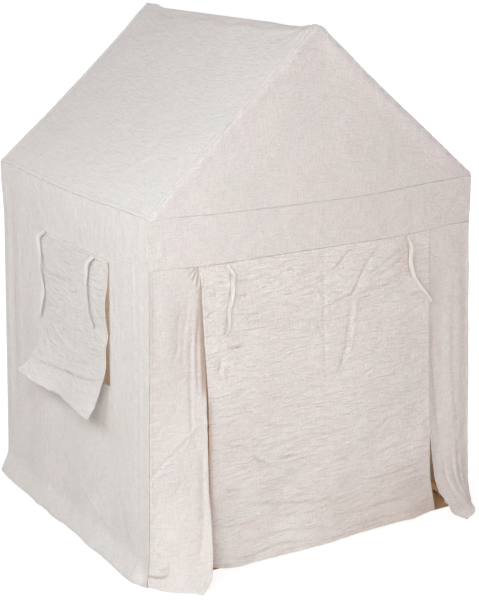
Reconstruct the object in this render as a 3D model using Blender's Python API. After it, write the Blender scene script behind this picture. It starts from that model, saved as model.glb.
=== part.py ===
"""Play tent: a house frame of round wooden poles under a loose cotton cover.

The cover has a door flap in front and a window flap on its left side. The front faces -Y and +Z is up.
The model is built about the middle of the pole frame. At the end it is moved so that its origin is the
middle of its footprint on the floor.
"""
import math

import bmesh
import bpy
from mathutils import Vector

# Sizes, in metres

# Cover
WIDTH = 1.000             # across the front, at the eaves
DEPTH = 0.950             # front to back, at the eaves
EAVE_HEIGHT = 0.985       # floor to the roof seam at a corner
ROOF_RISE = 0.444         # eave to ridge, over the connectors
CLOTH = 0.0014            # thickness of the canvas
SEAM_GAP = 0.0004         # between two panels that are sewn together
TOUCH = 0.0003            # between a piece and what it rests on

# Slack in the cover
SIDE_FLARE = 0.030        # how far the side walls stand out at the floor
FRONT_FLARE = 0.005       # the same for the front and back
HEM_SPREAD = 0.020        # extra spread where the side hems meet the floor
HEM_SPREAD_FRONT = 0.010
HEM_SPREAD_RISE = 0.110   # height of that spread
HEM_HEIGHT = 0.0008       # hem over the floor
HEM_ROWS = 4              # rows of faces in that spread
ROW_STEP = 0.085          # height of the other rows
WALL_FOLD = 0.005         # depth of the soft upright folds
EAVE_SAG = 0.012
EAVE_SAG_LEAN = 0.8       # under 1 moves its deepest point forward
EAVE_DIP_POWER = 8        # how close to the eave that sag stays
FRONT_SEAM_SAG = 0.019
SEAM_DROP = 0.001         # front and back seams, under the corners of the roof
GABLE_TIP = 0.003         # height of a gable where it ends
ROOF_BELLY = 0.004
RIDGE_DIP = 0.0085        # ridge seam between the connectors
RIDGE_DIP_LENGTH = 0.075  # length over which it drops
RIDGE_DIP_POWER = 6       # how close to the ridge the dip stays

# Front
DOOR_TOP = 0.838          # height of the seam that carries the door flap
DOOR_LEFT = 0.362         # middle of the tent to the flap's left edge, at the seam
DOOR_RIGHT = 0.366
DOOR_LEAN = 0.014         # how far the hem hangs over to the right
DOOR_BULGE = 0.020        # how far the hem stands out
DOOR_WAVE = 0.004         # one slow wave
DOOR_RIPPLE = 0.0024      # smaller ones near the hem
DOOR_CLEARANCE = 0.006    # flap's hem over the floor
VALANCE_RISE = 0.010      # the seam's rise from the doorway to the corners
JAMB_GAP = 0.0008         # between the flap and each jamb curtain
JAMB_PULL = 0.018         # left curtain's edge drawn back from the flap, at JAMB_PULL_HEIGHT
JAMB_PULL_HEIGHT = 0.690
JAMB_PULL_SPREAD = 0.110
JAMB_FOLD = 0.006
JAMB_TURN = math.radians(44)   # how far each curtain's foot swings out
JAMB_TURN_HEIGHT = 0.650
JAMB_TURN_LEFT = 3.3      # how late the turn comes, as a power
JAMB_TURN_RIGHT = 5.0
JAMB_FIXED = 0.75         # share of the door's height over which the rows match the wall's

# Window
WINDOW_FRONT = 0.246      # middle of the tent to the opening's front edge
WINDOW_BACK = 0.185
WINDOW_SILL = 0.484
WINDOW_TOP = 0.822
FLAP_ABOVE = 0.003        # flap's seam over the opening
FLAP_LENGTH = 0.435
FLAP_BEND = 0.62          # share of its length where the flap starts to stand away
FLAP_CURVE = 1.3          # how it curves from there, as a power
FLAP_SLACK = 0.002
FLAP_KICK_FRONT = 0.052
FLAP_KICK_MIDDLE = 0.033
FLAP_KICK_BACK = 0.073

# Flap hinges
HINGE_GAP = 0.0009        # between a flap's top edge and its seam
THIN_EDGE = 0.0006        # a flap is one layer thick at the seam
THIN_LENGTH = 0.010

# Ties
TIE_WIDTH = 0.012
TIE_THICKNESS = 0.0011
TIE_STEPS = 14
TIE_TOP = 0.003           # sewn end's drop below the seam
TIE_SEWN = 0.012          # drop at which it leaves the cloth
TIE_REST = 0.0006         # between that end and the cloth

# Frame
POLE_RADIUS = 0.009
POLE_CHAMFER = 0.0015
POLE_FIT = 0.0003         # between a pole and its socket
HUB_RADIUS = 0.017
SOCKET_RADIUS = 0.0125
SOCKET_DEPTH = 0.030
LIP_RADIUS = 0.0137
LIP_LENGTH = 0.004
LIP_CHAMFER = 0.001
SOCKET_WEB = 0.003        # plastic left between the inner ends of two sockets
FOOT_RADIUS = 0.020
FOOT_THICKNESS = 0.004
FOOT_CHAMFER = 0.0016
FOOT_NECK = 0.010         # radius where the foot pad runs into its hub

# Faces
ROUND_SIDES = 12          # sides of a pole, a socket and a hub
COLUMN_STEP = 0.070       # width of a column of faces in the roof and walls
DOOR_COLUMNS = 16
DOOR_ROWS = 13
JAMB_COLUMNS = 7
FLAP_COLUMNS = 10
FLAP_ROWS = 9
CREASE_ANGLE = math.radians(38)

# Soft upright folds in a wall: how many, and where the first one starts
LEFT_FOLDS = (3, 0.1)
RIGHT_FOLDS = (4, 0.3)
BACK_FOLDS = (4, 0.6)

# Worked out from the sizes

HALF_WIDTH = WIDTH / 2
HALF_DEPTH = DEPTH / 2
SLOPE = math.atan2(ROOF_RISE, HALF_WIDTH)
CLOTH_UPRIGHT = CLOTH / math.cos(SLOPE)     # the roof's thickness, measured straight up
HUB_INSET = CLOTH + TOUCH + HUB_RADIUS      # outer face of the cover to a connector's centre
SLOPE_SAG = (HUB_RADIUS - POLE_RADIUS) / math.cos(SLOPE)
RIDGE_HEIGHT = EAVE_HEIGHT + ROOF_RISE
BORE_RADIUS = POLE_RADIUS + POLE_FIT

COTTON = ("natural cotton canvas", (0.86, 0.82, 0.78), 0.9)
TAPE = ("cotton tape", (0.88, 0.85, 0.81), 0.9)
PINE = ("pine", (0.72, 0.52, 0.33), 0.55)
PLASTIC = ("white nylon", (0.84, 0.83, 0.80), 0.45)


# Small helpers

def ease(t):
    """Smooth step from 0 to 1."""
    t = min(max(t, 0.0), 1.0)
    return t * t * (3 - 2 * t)


def mix(a, b, t):
    return a + (b - a) * t


def columns(length):
    """Number of columns of faces in a panel of this length."""
    return round(length / COLUMN_STEP)


def steps(count, *stops):
    """Even steps from 0 to 1, with extra stops put in."""
    values = [i / count for i in range(count + 1)]
    kept = [v for v in values if all(abs(v - s) > 0.3 / count for s in stops)]
    return sorted(kept + list(stops))


def material(spec):
    name, colour, roughness = spec
    found = bpy.data.materials.get(name)
    if found:
        return found
    made = bpy.data.materials.new(name)
    made.use_nodes = True
    shader = made.node_tree.nodes["Principled BSDF"]
    shader.inputs["Base Color"].default_value = (*colour, 1)
    shader.inputs["Roughness"].default_value = roughness
    shader.inputs["Metallic"].default_value = 0
    return made


def add_empty(name, place, parent=None):
    empty = bpy.data.objects.new(name, None)
    bpy.context.collection.objects.link(empty)
    empty.location = place
    empty.parent = parent
    return empty


def add_object(name, bm, spec, parent, origin=Vector()):
    """Object from a bmesh made in the frame's own place, with its origin moved to `origin`."""
    bmesh.ops.translate(bm, verts=bm.verts, vec=-origin)
    bmesh.ops.recalc_face_normals(bm, faces=bm.faces)
    mesh = bpy.data.meshes.new(name)
    bm.to_mesh(mesh)
    bm.free()
    mesh.materials.append(material(spec))
    mesh.shade_smooth()
    mesh.set_sharp_from_angle(angle=CREASE_ANGLE)
    piece = bpy.data.objects.new(name, mesh)
    bpy.context.collection.objects.link(piece)
    piece.parent = parent
    piece.location = origin - parent.location if parent.parent else origin
    return piece


# Shape of the cover: each function gives a distance from the middle, or a height

def flare(z, at_floor, spread):
    """How far a wall stands out at height z."""
    low = 1 - z / EAVE_HEIGHT
    return at_floor * low + spread * ease(1 - z / HEM_SPREAD_RISE)


def side_reach(z):
    return HALF_WIDTH + flare(z, SIDE_FLARE, HEM_SPREAD)


def front_reach(z):
    return HALF_DEPTH + flare(z, FRONT_FLARE, HEM_SPREAD_FRONT)


def eave_sag(y):
    """Sag of the side eaves, deepest in front of the middle."""
    along = (y + HALF_DEPTH) / DEPTH
    along = min(max(along, 0.0), 1.0)
    return EAVE_SAG * math.sin(math.pi * along ** EAVE_SAG_LEAN) ** 2


def roof_height(x, y):
    """Top of the roof, with the cloth dipping onto the poles between the connectors."""
    up = min(max(1 - abs(x) / HALF_WIDTH, 0.0), 1.0)
    along = min(max((y + HALF_DEPTH) / DEPTH, 0.0), 1.0)
    over_hub = HUB_INSET + HUB_RADIUS
    ridge = RIDGE_DIP * ease((HALF_DEPTH - abs(y) - over_hub) / RIDGE_DIP_LENGTH)
    belly = ROOF_BELLY * math.sin(math.pi * along) ** 2
    dip = (SLOPE_SAG + belly) * math.sin(math.pi * up) ** 2
    dip += ridge * up ** RIDGE_DIP_POWER + eave_sag(y) * (1 - up) ** EAVE_DIP_POWER
    return EAVE_HEIGHT + ROOF_RISE * up - dip


def under_roof(x, y):
    return roof_height(x, y) - CLOTH_UPRIGHT - SEAM_GAP


def gable_seam(x):
    """Seam between a gable and what hangs under it."""
    return EAVE_HEIGHT - SEAM_DROP - FRONT_SEAM_SAG * math.cos(math.pi * x / WIDTH) ** 2


def gable_reach():
    """Half width of a gable panel, which ends where its two seams come together."""
    low, high = 0.0, HALF_WIDTH
    for _ in range(30):
        x = (low + high) / 2
        if under_roof(x, HALF_DEPTH) - gable_seam(x) > GABLE_TIP:
            low = x
        else:
            high = x
    return low


def valance_seam(x):
    """Bottom seam of the front band: straight over the door, rising to the corners."""
    beyond = max(-DOOR_LEFT - x, x - DOOR_RIGHT, 0.0)
    return DOOR_TOP + VALANCE_RISE * beyond / (HALF_WIDTH - DOOR_LEFT)


def door_edges(z):
    """Left and right edges of the door flap at height z."""
    lean = DOOR_LEAN * (1 - z / DOOR_TOP)
    return -DOOR_LEFT + lean, DOOR_RIGHT + lean


# Cloth panels

def cloth(name, outer, us, vs, inward, parent, origin=Vector(), hole=None, thickness=None):
    """Closed sheet. outer(u, v) is its outer face, and inward the direction of its thickness.

    hole gives the u and v limits of an opening, and thickness(u, v) overrides the canvas's own.
    """
    bm = bmesh.new()
    faces = []
    for depth in (0, 1):
        grid = []
        for u in us:
            row = []
            for v in vs:
                thick = thickness(u, v) if thickness else CLOTH
                row.append(bm.verts.new(Vector(outer(u, v)) + Vector(inward) * thick * depth))
            grid.append(row)
        faces.append(grid)
    outside, inside = faces
    skin = []     # triangles, so that both faces of a warped sheet are split the same way
    for i in range(len(us) - 1):
        for j in range(len(vs) - 1):
            if hole:
                u, v = (us[i] + us[i + 1]) / 2, (vs[j] + vs[j + 1]) / 2
                if hole[0] < u < hole[1] and hole[2] < v < hole[3]:
                    continue
            near, far = (i, j), (i + 1, j + 1)
            for corners in ((near, (i + 1, j), far), (near, far, (i, j + 1))):
                skin.append(bm.faces.new([outside[a][b] for a, b in corners]))
                bm.faces.new([inside[a][b] for a, b in reversed(corners)])
    twin = {outside[i][j]: inside[i][j] for i in range(len(us)) for j in range(len(vs))}
    rim = {edge for face in skin for edge in face.edges if len(edge.link_faces) == 1}
    for edge in rim:
        a, b = edge.verts
        bm.faces.new((b, a, twin[a], twin[b]))
    loose = [v for v in bm.verts if not v.link_faces]
    bmesh.ops.delete(bm, geom=loose, context="VERTS")
    return add_object(name, bm, COTTON, parent, origin)


ROOF_COLUMNS = columns(HALF_WIDTH / math.cos(SLOPE))


def make_roof(tent):
    for side, name in ((-1, "roof_left"), (1, "roof_right")):
        def outer(u, v, side=side):
            x = side * mix(SEAM_GAP / 2, HALF_WIDTH, v)
            y = mix(-HALF_DEPTH, HALF_DEPTH, u)
            return x, y, roof_height(x, y)

        down = (0, 0, -CLOTH_UPRIGHT / CLOTH)
        over_hub = (HUB_INSET + HUB_RADIUS) / DEPTH
        along = steps(columns(DEPTH), over_hub, 1 - over_hub)
        cloth(name, outer, along, steps(ROOF_COLUMNS), down, tent)


def make_gables(tent):
    reach = gable_reach()
    for side, name in ((-1, "gable_front"), (1, "gable_back")):
        def outer(u, v, side=side):
            x = mix(-reach, reach, u)
            z = mix(gable_seam(x) + SEAM_GAP / 2, under_roof(x, side * HALF_DEPTH), v)
            return x, side * HALF_DEPTH, z

        cloth(name, outer, steps(2 * ROOF_COLUMNS), steps(3), (0, -side, 0), tent)


def band_top(x):
    return min(gable_seam(x) - SEAM_GAP / 2, under_roof(x, HALF_DEPTH))


def make_valance(tent):
    left = (HALF_WIDTH - DOOR_LEFT) / WIDTH
    right = (HALF_WIDTH + DOOR_RIGHT) / WIDTH

    def outer(u, v):
        x = mix(-HALF_WIDTH, HALF_WIDTH, u)
        z = mix(valance_seam(x), band_top(x), v)
        return x * side_reach(z) / HALF_WIDTH, -front_reach(z), z

    cloth("valance_front", outer, steps(2 * ROOF_COLUMNS, left, right), steps(3), (0, 1, 0), tent)


def fold(along, z, count, start):
    """Soft upright folds that fade out at the top and at the corners of a wall."""
    fade = math.sin(math.pi * along) ** 0.5 * ease(1 - z / EAVE_HEIGHT)
    return WALL_FOLD * fade * math.sin(2 * math.pi * (count * along + start))


def wall_rows(*stops):
    """Heights of a wall's rows: close together over the hem, then evenly up to each stop.

    The last two rows lie between the last stop and the wall's own top, as stretch gives them.
    """
    rows = [mix(HEM_HEIGHT, HEM_SPREAD_RISE, i / HEM_ROWS) for i in range(HEM_ROWS + 1)]
    for stop in stops:
        low = rows[-1]
        count = max(1, round((stop - low) / ROW_STEP))
        rows += [mix(low, stop, i / count) for i in range(1, count + 1)]
    return rows + [rows[-1] + 0.5, rows[-1] + 1.0]


def stretch(v, fixed, top):
    """Height of a row: its own value up to `fixed`, then a share of the way to the top."""
    return v if v <= fixed else mix(fixed, top, v - fixed)


def make_side_walls(tent):
    window = ((HALF_DEPTH - WINDOW_FRONT) / DEPTH, (HALF_DEPTH + WINDOW_BACK) / DEPTH)
    rows = wall_rows(WINDOW_SILL, WINDOW_TOP)
    for side, name, folds in ((-1, "wall_left", LEFT_FOLDS), (1, "wall_right", RIGHT_FOLDS)):
        def outer(u, v, side=side, folds=folds):
            z = stretch(v, WINDOW_TOP, under_roof(HALF_WIDTH, mix(-HALF_DEPTH, HALF_DEPTH, u)))
            edge = front_reach(z) - CLOTH - SEAM_GAP
            return side * (side_reach(z) + fold(u, z, *folds)), mix(-edge, edge, u), z

        hole = (*window, WINDOW_SILL, WINDOW_TOP) if side < 0 else None
        cloth(name, outer, steps(columns(DEPTH), *window), rows, (-side, 0, 0), tent, hole=hole)


def make_back_wall(tent):
    def outer(u, v):
        x = mix(-HALF_WIDTH, HALF_WIDTH, u)
        z = stretch(v, WINDOW_TOP, band_top(x))
        y = front_reach(z) + fold(u, z, *BACK_FOLDS)
        return x * side_reach(z) / HALF_WIDTH, y, z

    cloth("wall_back", outer, steps(columns(WIDTH)), wall_rows(WINDOW_TOP), (0, -1, 0), tent)


JAMB_ROWS_TO = JAMB_FIXED * DOOR_TOP


def jamb_point(side, s, v):
    """Jamb curtain: s runs from the tent's corner to the free edge, and v gives the row's height."""
    seam_edge = DOOR_LEFT if side < 0 else DOOR_RIGHT
    seam_z = valance_seam(side * mix(HALF_WIDTH, seam_edge, s)) - SEAM_GAP
    z = stretch(v, JAMB_ROWS_TO, seam_z)
    door = door_edges(z)[0 if side < 0 else 1]
    pull = JAMB_PULL * ease(1 - abs(z - JAMB_PULL_HEIGHT) / JAMB_PULL_SPREAD) if side < 0 else 0.0
    width = side_reach(z) - abs(door) - JAMB_GAP - pull
    power = JAMB_TURN_LEFT if side < 0 else JAMB_TURN_RIGHT
    angle = JAMB_TURN * max(0.0, 1 - z / JAMB_TURN_HEIGHT) ** power
    pleat = JAMB_FOLD * math.sin(2 * math.pi * s) * math.sin(math.pi * z / seam_z) * math.sin(math.pi * s)
    x = side_reach(z) - width * s * math.cos(angle)
    y = front_reach(z) + width * s * math.sin(angle) + pleat
    return side * x, -y, z


def make_jambs(tent):
    for side, name in ((-1, "jamb_left"), (1, "jamb_right")):
        def outer(u, v, side=side):
            return jamb_point(side, u, v)

        rows = wall_rows(JAMB_ROWS_TO)
        cloth(name, outer, steps(JAMB_COLUMNS), rows, (0, 1, 0), tent)


def thin_top(length):
    """Thickness of a flap, which is one layer at its seam."""
    def thickness(u, v):
        return mix(THIN_EDGE, CLOTH, min(1.0, v * length / THIN_LENGTH))

    return thickness


# Door flap

DOOR_AXIS = Vector((0, -front_reach(DOOR_TOP), DOOR_TOP - HINGE_GAP))
DOOR_LENGTH = DOOR_AXIS.z - DOOR_CLEARANCE


def door_reach(x, z):
    """How far the door flap's outer face stands in front of the middle."""
    down = (DOOR_AXIS.z - z) / DOOR_LENGTH
    across = (x + DOOR_LEFT) / (DOOR_LEFT + DOOR_RIGHT)
    wave = DOOR_WAVE * math.sin(2 * math.pi * (1.5 * across + 0.15)) * math.sin(math.pi * down) ** 2
    ripple = DOOR_RIPPLE * math.sin(2 * math.pi * (3 * across + 2 * down)) * ease(2 * down - 1)
    bulge = DOOR_BULGE * ease(1 - z / HEM_SPREAD_RISE)
    return -DOOR_AXIS.y + FRONT_FLARE * down + wave + ripple + bulge


def make_door(tent, hinge):
    def outer(u, v):
        z = mix(DOOR_AXIS.z, DOOR_CLEARANCE, v)
        left, right = door_edges(z)
        x = mix(left, right, u)
        return x, -door_reach(x, z), z

    foot = 1 - HEM_SPREAD_RISE / DOOR_LENGTH
    rows = steps(DOOR_ROWS, THIN_LENGTH / DOOR_LENGTH, foot, mix(foot, 1, 1 / 3), mix(foot, 1, 2 / 3))
    cloth("door_flap", outer, steps(DOOR_COLUMNS), rows, (0, 1, 0), hinge, DOOR_AXIS,
          thickness=thin_top(DOOR_LENGTH))


# Window flap

FLAP_TOP = WINDOW_TOP + FLAP_ABOVE
FLAP_AXIS = Vector((-side_reach(FLAP_TOP) - TOUCH - THIN_EDGE, 0, FLAP_TOP))


def flap_point(s, t):
    """Window flap: s runs from its front edge to its back edge, t from its seam to its hem."""
    y = mix(-WINDOW_FRONT, WINDOW_BACK, s)
    ends = mix(FLAP_KICK_FRONT, FLAP_KICK_BACK, s)
    kick = mix(FLAP_KICK_MIDDLE, ends, math.cos(math.pi * s) ** 2)
    bent = max(0.0, (t - FLAP_BEND) / (1 - FLAP_BEND)) ** FLAP_CURVE
    out = kick * bent
    lift = out * out / (2 * FLAP_LENGTH * (1 - FLAP_BEND))
    z = FLAP_AXIS.z - FLAP_LENGTH * t + lift
    lean = (CLOTH - THIN_EDGE) * min(1.0, t * FLAP_LENGTH / THIN_LENGTH)
    slack = FLAP_SLACK * math.sin(math.pi * t)
    wall = side_reach(z) - side_reach(FLAP_TOP) + WALL_FOLD * ease(t)
    return FLAP_AXIS.x - wall - lean - slack - out, y, z


def make_window_flap(tent, hinge):
    rows = steps(FLAP_ROWS, THIN_LENGTH / FLAP_LENGTH, FLAP_BEND, mix(FLAP_BEND, 1, 0.6))
    cloth("window_flap", flap_point, steps(FLAP_COLUMNS), rows, (1, 0, 0), hinge, FLAP_AXIS,
          thickness=thin_top(FLAP_LENGTH))


# Tape ties. After its sewn end, each runs through points of (place along the seam, drop, distance off)

DOOR_TIES = {
    "door_tie_left": ((-0.268, 0.026, 0.009), (-0.266, 0.049, 0.008), (-0.276, 0.113, 0.006),
                      (-0.287, 0.190, 0.005)),
    "door_tie_right": ((0.302, 0.023, 0.010), (0.296, 0.052, 0.010), (0.303, 0.082, 0.009),
                       (0.352, 0.192, 0.006)),
}
WINDOW_TIES = {
    "window_tie_front": ((-0.138, 0.027, 0.011), (-0.130, 0.068, 0.009), (-0.140, 0.138, 0.008),
                         (-0.172, 0.196, 0.006)),
    "window_tie_back": ((0.175, 0.030, 0.0105), (0.172, 0.110, 0.009), (0.158, 0.184, 0.008),
                        (0.172, 0.248, 0.008)),
}
TIE_STARTS = {"door_tie_left": -0.281, "door_tie_right": 0.290,
              "window_tie_front": -0.166, "window_tie_back": 0.165}


def smooth_route(points, count):
    """Points along a smooth curve through these points."""
    ends = [points[0] * 2 - points[1], *points, points[-1] * 2 - points[-2]]
    spans = len(points) - 1
    route = []
    for i in range(count + 1):
        place = min(i / count * spans, spans - 1e-6)
        k = int(place)
        t = place - k
        a, b, c, d = ends[k:k + 4]
        route.append(0.5 * (2 * b + (c - a) * t + (2 * a - 5 * b + 4 * c - d) * t ** 2
                            + (3 * b - a - 3 * c + d) * t ** 3))
    return route


def make_tie(name, route, across, outward, parent, origin):
    """Flat tape along a route. across is the seam's direction, and outward leads off the cloth."""
    bm = bmesh.new()
    rings = []
    for i, point in enumerate(route):
        before, after = route[max(i - 1, 0)], route[min(i + 1, len(route) - 1)]
        along = (after - before).normalized()
        tilt = along * across.dot(along) if i > 1 else Vector()     # the sewn end stays level
        side = (across - tilt).normalized() * TIE_WIDTH / 2
        front = outward * TIE_THICKNESS
        rings.append([bm.verts.new(point + offset)
                      for offset in (-side, side, side + front, -side + front)])
    for low, high in zip(rings, rings[1:]):
        for i in range(4):
            j = (i + 1) % 4
            bm.faces.new((low[i], low[j], high[j] if i < 2 else high[i]))
            bm.faces.new((high[j], high[i], low[i] if i < 2 else low[j]))
    bm.faces.new(rings[0])
    bm.faces.new(rings[-1])
    return add_object(name, bm, TAPE, parent, origin)


def on_door(x, drop, away):
    """Point in front of the door flap."""
    z = DOOR_AXIS.z - drop
    return Vector((x, -door_reach(x, z) - away, z))


def on_window(y, drop, away):
    """Point outside the window flap."""
    across = (y + WINDOW_FRONT) / (WINDOW_FRONT + WINDOW_BACK)
    x, _, z = flap_point(across, drop / FLAP_LENGTH)
    return Vector((x - away, y, z))


def make_ties(door_hinge, window_hinge):
    groups = ((DOOR_TIES, on_door, (1, 0, 0), (0, -1, 0), door_hinge, DOOR_AXIS),
              (WINDOW_TIES, on_window, (0, 1, 0), (-1, 0, 0), window_hinge, FLAP_AXIS))
    for ties, place, across, outward, hinge, axis in groups:
        for name, points in ties.items():
            start = TIE_STARTS[name]
            sewn = [place(start, drop, TIE_REST) for drop in (TIE_TOP, TIE_SEWN)]
            free = [place(*point) for point in points]
            route = sewn[:1] + smooth_route(sewn[1:] + free, TIE_STEPS)
            make_tie(name, route, Vector(across), Vector(outward), hinge, axis)


# Pole frame

def turned(profile):
    """Solid turned about Z, from (radius, height) points that run upward."""
    bm = bmesh.new()
    rings = []
    for radius, height in profile:
        turns = [2 * math.pi * i / ROUND_SIDES for i in range(ROUND_SIDES)]
        rings.append([bm.verts.new((radius * math.cos(a), radius * math.sin(a), height)) for a in turns])
    for low, high in zip(rings, rings[1:]):
        for i in range(ROUND_SIDES):
            j = (i + 1) % ROUND_SIDES
            bm.faces.new((low[i], low[j], high[j], high[i]))
    bm.faces.new(list(reversed(rings[0])))
    bm.faces.new(rings[-1])
    return bm


def aim(piece, direction):
    piece.rotation_mode = "QUATERNION"
    piece.rotation_quaternion = Vector(direction).to_track_quat("Z", "Y")


def seat_depth(angle):
    """Distance from a connector's centre to the end of a pole, where the closest sockets meet at angle."""
    return BORE_RADIUS / math.sin(angle / 2) + SOCKET_WEB


SQUARE_SEAT = seat_depth(math.pi / 2)
EAVE_SEAT = seat_depth(SLOPE)


def pole(name, hubs, start, end, tent):
    """Round dowel between two connectors, with chamfered ends."""
    a, a_seat = hubs[start]
    b, b_seat = hubs[end]
    direction = (b - a).normalized()
    length = (b - a).length - a_seat - b_seat - 2 * POLE_FIT
    rim = POLE_RADIUS - POLE_CHAMFER
    bm = turned(((rim, 0), (POLE_RADIUS, POLE_CHAMFER), (POLE_RADIUS, length - POLE_CHAMFER), (rim, length)))
    piece = add_object(name, bm, PINE, tent)
    piece.location = a + direction * (a_seat + POLE_FIT)
    aim(piece, direction)
    return piece


def combine(piece, tool, operation):
    """Apply a Boolean with a tool that is then thrown away."""
    change = piece.modifiers.new(operation, "BOOLEAN")
    change.operation = operation
    change.solver = "EXACT"
    change.object = tool
    scene_state = bpy.context.evaluated_depsgraph_get()
    result = bpy.data.meshes.new_from_object(piece.evaluated_get(scene_state))
    piece.modifiers.clear()
    piece.data = result
    bpy.data.objects.remove(tool)


def connector(name, hubs, key, directions, tent):
    """Moulded fitting: a round hub with a lipped socket for each pole, and a pad where it is a foot."""
    centre, seat = hubs[key]
    mouth = seat + SOCKET_DEPTH
    bm = bmesh.new()
    bmesh.ops.create_uvsphere(bm, u_segments=ROUND_SIDES, v_segments=ROUND_SIDES // 2, radius=HUB_RADIUS)
    piece = add_object(name, bm, PLASTIC, tent)
    lip = mouth - LIP_LENGTH
    tube = ((POLE_RADIUS, -SOCKET_WEB), (SOCKET_RADIUS, 0), (SOCKET_RADIUS, lip - LIP_CHAMFER),
            (LIP_RADIUS, lip), (LIP_RADIUS, mouth - LIP_CHAMFER), (LIP_RADIUS - LIP_CHAMFER, mouth))
    for direction in directions:
        tool = add_object("socket", turned(tube), PLASTIC, tent)
        aim(tool, direction)
        combine(piece, tool, "UNION")
    if key.startswith("foot"):
        top = FOOT_THICKNESS - HUB_RADIUS
        pad = ((FOOT_RADIUS, -HUB_RADIUS), (FOOT_RADIUS, top - FOOT_CHAMFER),
               (FOOT_RADIUS - FOOT_CHAMFER, top), (FOOT_NECK, 0))
        combine(piece, add_object("pad", turned(pad), PLASTIC, tent), "UNION")
    for direction in directions:
        bore = ((BORE_RADIUS, seat), (BORE_RADIUS, mouth + LIP_LENGTH))
        tool = add_object("bore", turned(bore), PLASTIC, tent)
        aim(tool, direction)
        combine(piece, tool, "DIFFERENCE")
    piece.data.name = name
    piece.data.shade_smooth()
    piece.data.set_sharp_from_angle(angle=CREASE_ANGLE)
    piece.location = centre
    return piece


SIDES = ((-1, "left"), (1, "right"))
ENDS = ((-1, "front"), (1, "back"))


def hub_places():
    """Centre and seat depth of each connector."""
    hub_x = HALF_WIDTH - HUB_INSET
    hub_y = HALF_DEPTH - HUB_INSET
    eave_z = EAVE_HEIGHT + HUB_INSET * math.tan(SLOPE) - HUB_INSET / math.cos(SLOPE)
    ridge_z = RIDGE_HEIGHT - HUB_INSET / math.cos(SLOPE)
    hubs = {}
    for end_sign, end in ENDS:
        hubs[f"ridge_{end}"] = (Vector((0, end_sign * hub_y, ridge_z)), SQUARE_SEAT)
        for side_sign, side in SIDES:
            x, y = side_sign * hub_x, end_sign * hub_y
            hubs[f"foot_{end}_{side}"] = (Vector((x, y, HUB_RADIUS)), SQUARE_SEAT)
            hubs[f"eave_{end}_{side}"] = (Vector((x, y, eave_z)), EAVE_SEAT)
    return hubs


def make_frame(tent):
    hubs = hub_places()
    rise, run = math.sin(SLOPE), math.cos(SLOPE)
    for end_sign, end in ENDS:
        inward = (0, -end_sign, 0)
        connector(f"ridge_connector_{end}", hubs, f"ridge_{end}",
                  ((-run, 0, -rise), (run, 0, -rise), inward), tent)
        for side_sign, side in SIDES:
            across = (-side_sign, 0, 0)
            foot_ways = [(0, 0, 1), inward] + ([across] if end == "back" else [])
            connector(f"foot_connector_{end}_{side}", hubs, f"foot_{end}_{side}", foot_ways, tent)
            eave_ways = [(0, 0, -1), inward, across, (-side_sign * run, 0, rise)]
            connector(f"eave_connector_{end}_{side}", hubs, f"eave_{end}_{side}", eave_ways, tent)
            pole(f"post_{end}_{side}", hubs, f"foot_{end}_{side}", f"eave_{end}_{side}", tent)
            pole(f"rafter_{end}_{side}", hubs, f"eave_{end}_{side}", f"ridge_{end}", tent)
        pole(f"eave_rail_{end}", hubs, f"eave_{end}_left", f"eave_{end}_right", tent)
    for side_sign, side in SIDES:
        pole(f"eave_rail_{side}", hubs, f"eave_front_{side}", f"eave_back_{side}", tent)
        pole(f"floor_rail_{side}", hubs, f"foot_front_{side}", f"foot_back_{side}", tent)
    pole("floor_rail_back", hubs, "foot_back_left", "foot_back_right", tent)
    pole("ridge_pole", hubs, "ridge_front", "ridge_back", tent)


def centre_on_footprint(tent):
    """Move the whole tent so that the middle of its footprint is at the origin."""
    bpy.context.view_layer.update()
    corners = []
    for piece in bpy.data.objects:
        if piece.type == "MESH" and "_tie_" not in piece.name:
            corners += [piece.matrix_world @ Vector(corner) for corner in piece.bound_box]
    for axis in (0, 1):
        values = [corner[axis] for corner in corners]
        tent.location[axis] = -(min(values) + max(values)) / 2


def main():
    for old in list(bpy.data.objects):
        bpy.data.objects.remove(old)
    tent = add_empty("tent", (0, 0, 0))
    door_hinge = add_empty("door_hinge", DOOR_AXIS, tent)
    window_hinge = add_empty("window_hinge", FLAP_AXIS, tent)
    make_frame(tent)
    make_roof(tent)
    make_gables(tent)
    make_valance(tent)
    make_side_walls(tent)
    make_back_wall(tent)
    make_jambs(tent)
    make_door(tent, door_hinge)
    make_window_flap(tent, window_hinge)
    make_ties(door_hinge, window_hinge)
    centre_on_footprint(tent)


main()
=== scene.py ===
"""Looks of the play tent: washed cotton cover, tape ties, pine poles and nylon connectors.

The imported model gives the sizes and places. Shapes are worked out about the middle of the pole frame, with
the front towards -Y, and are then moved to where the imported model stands.
"""

import math

import bpy
import numpy as np
from mathutils import Matrix, Vector
from mathutils.geometry import tessellate_polygon


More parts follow.
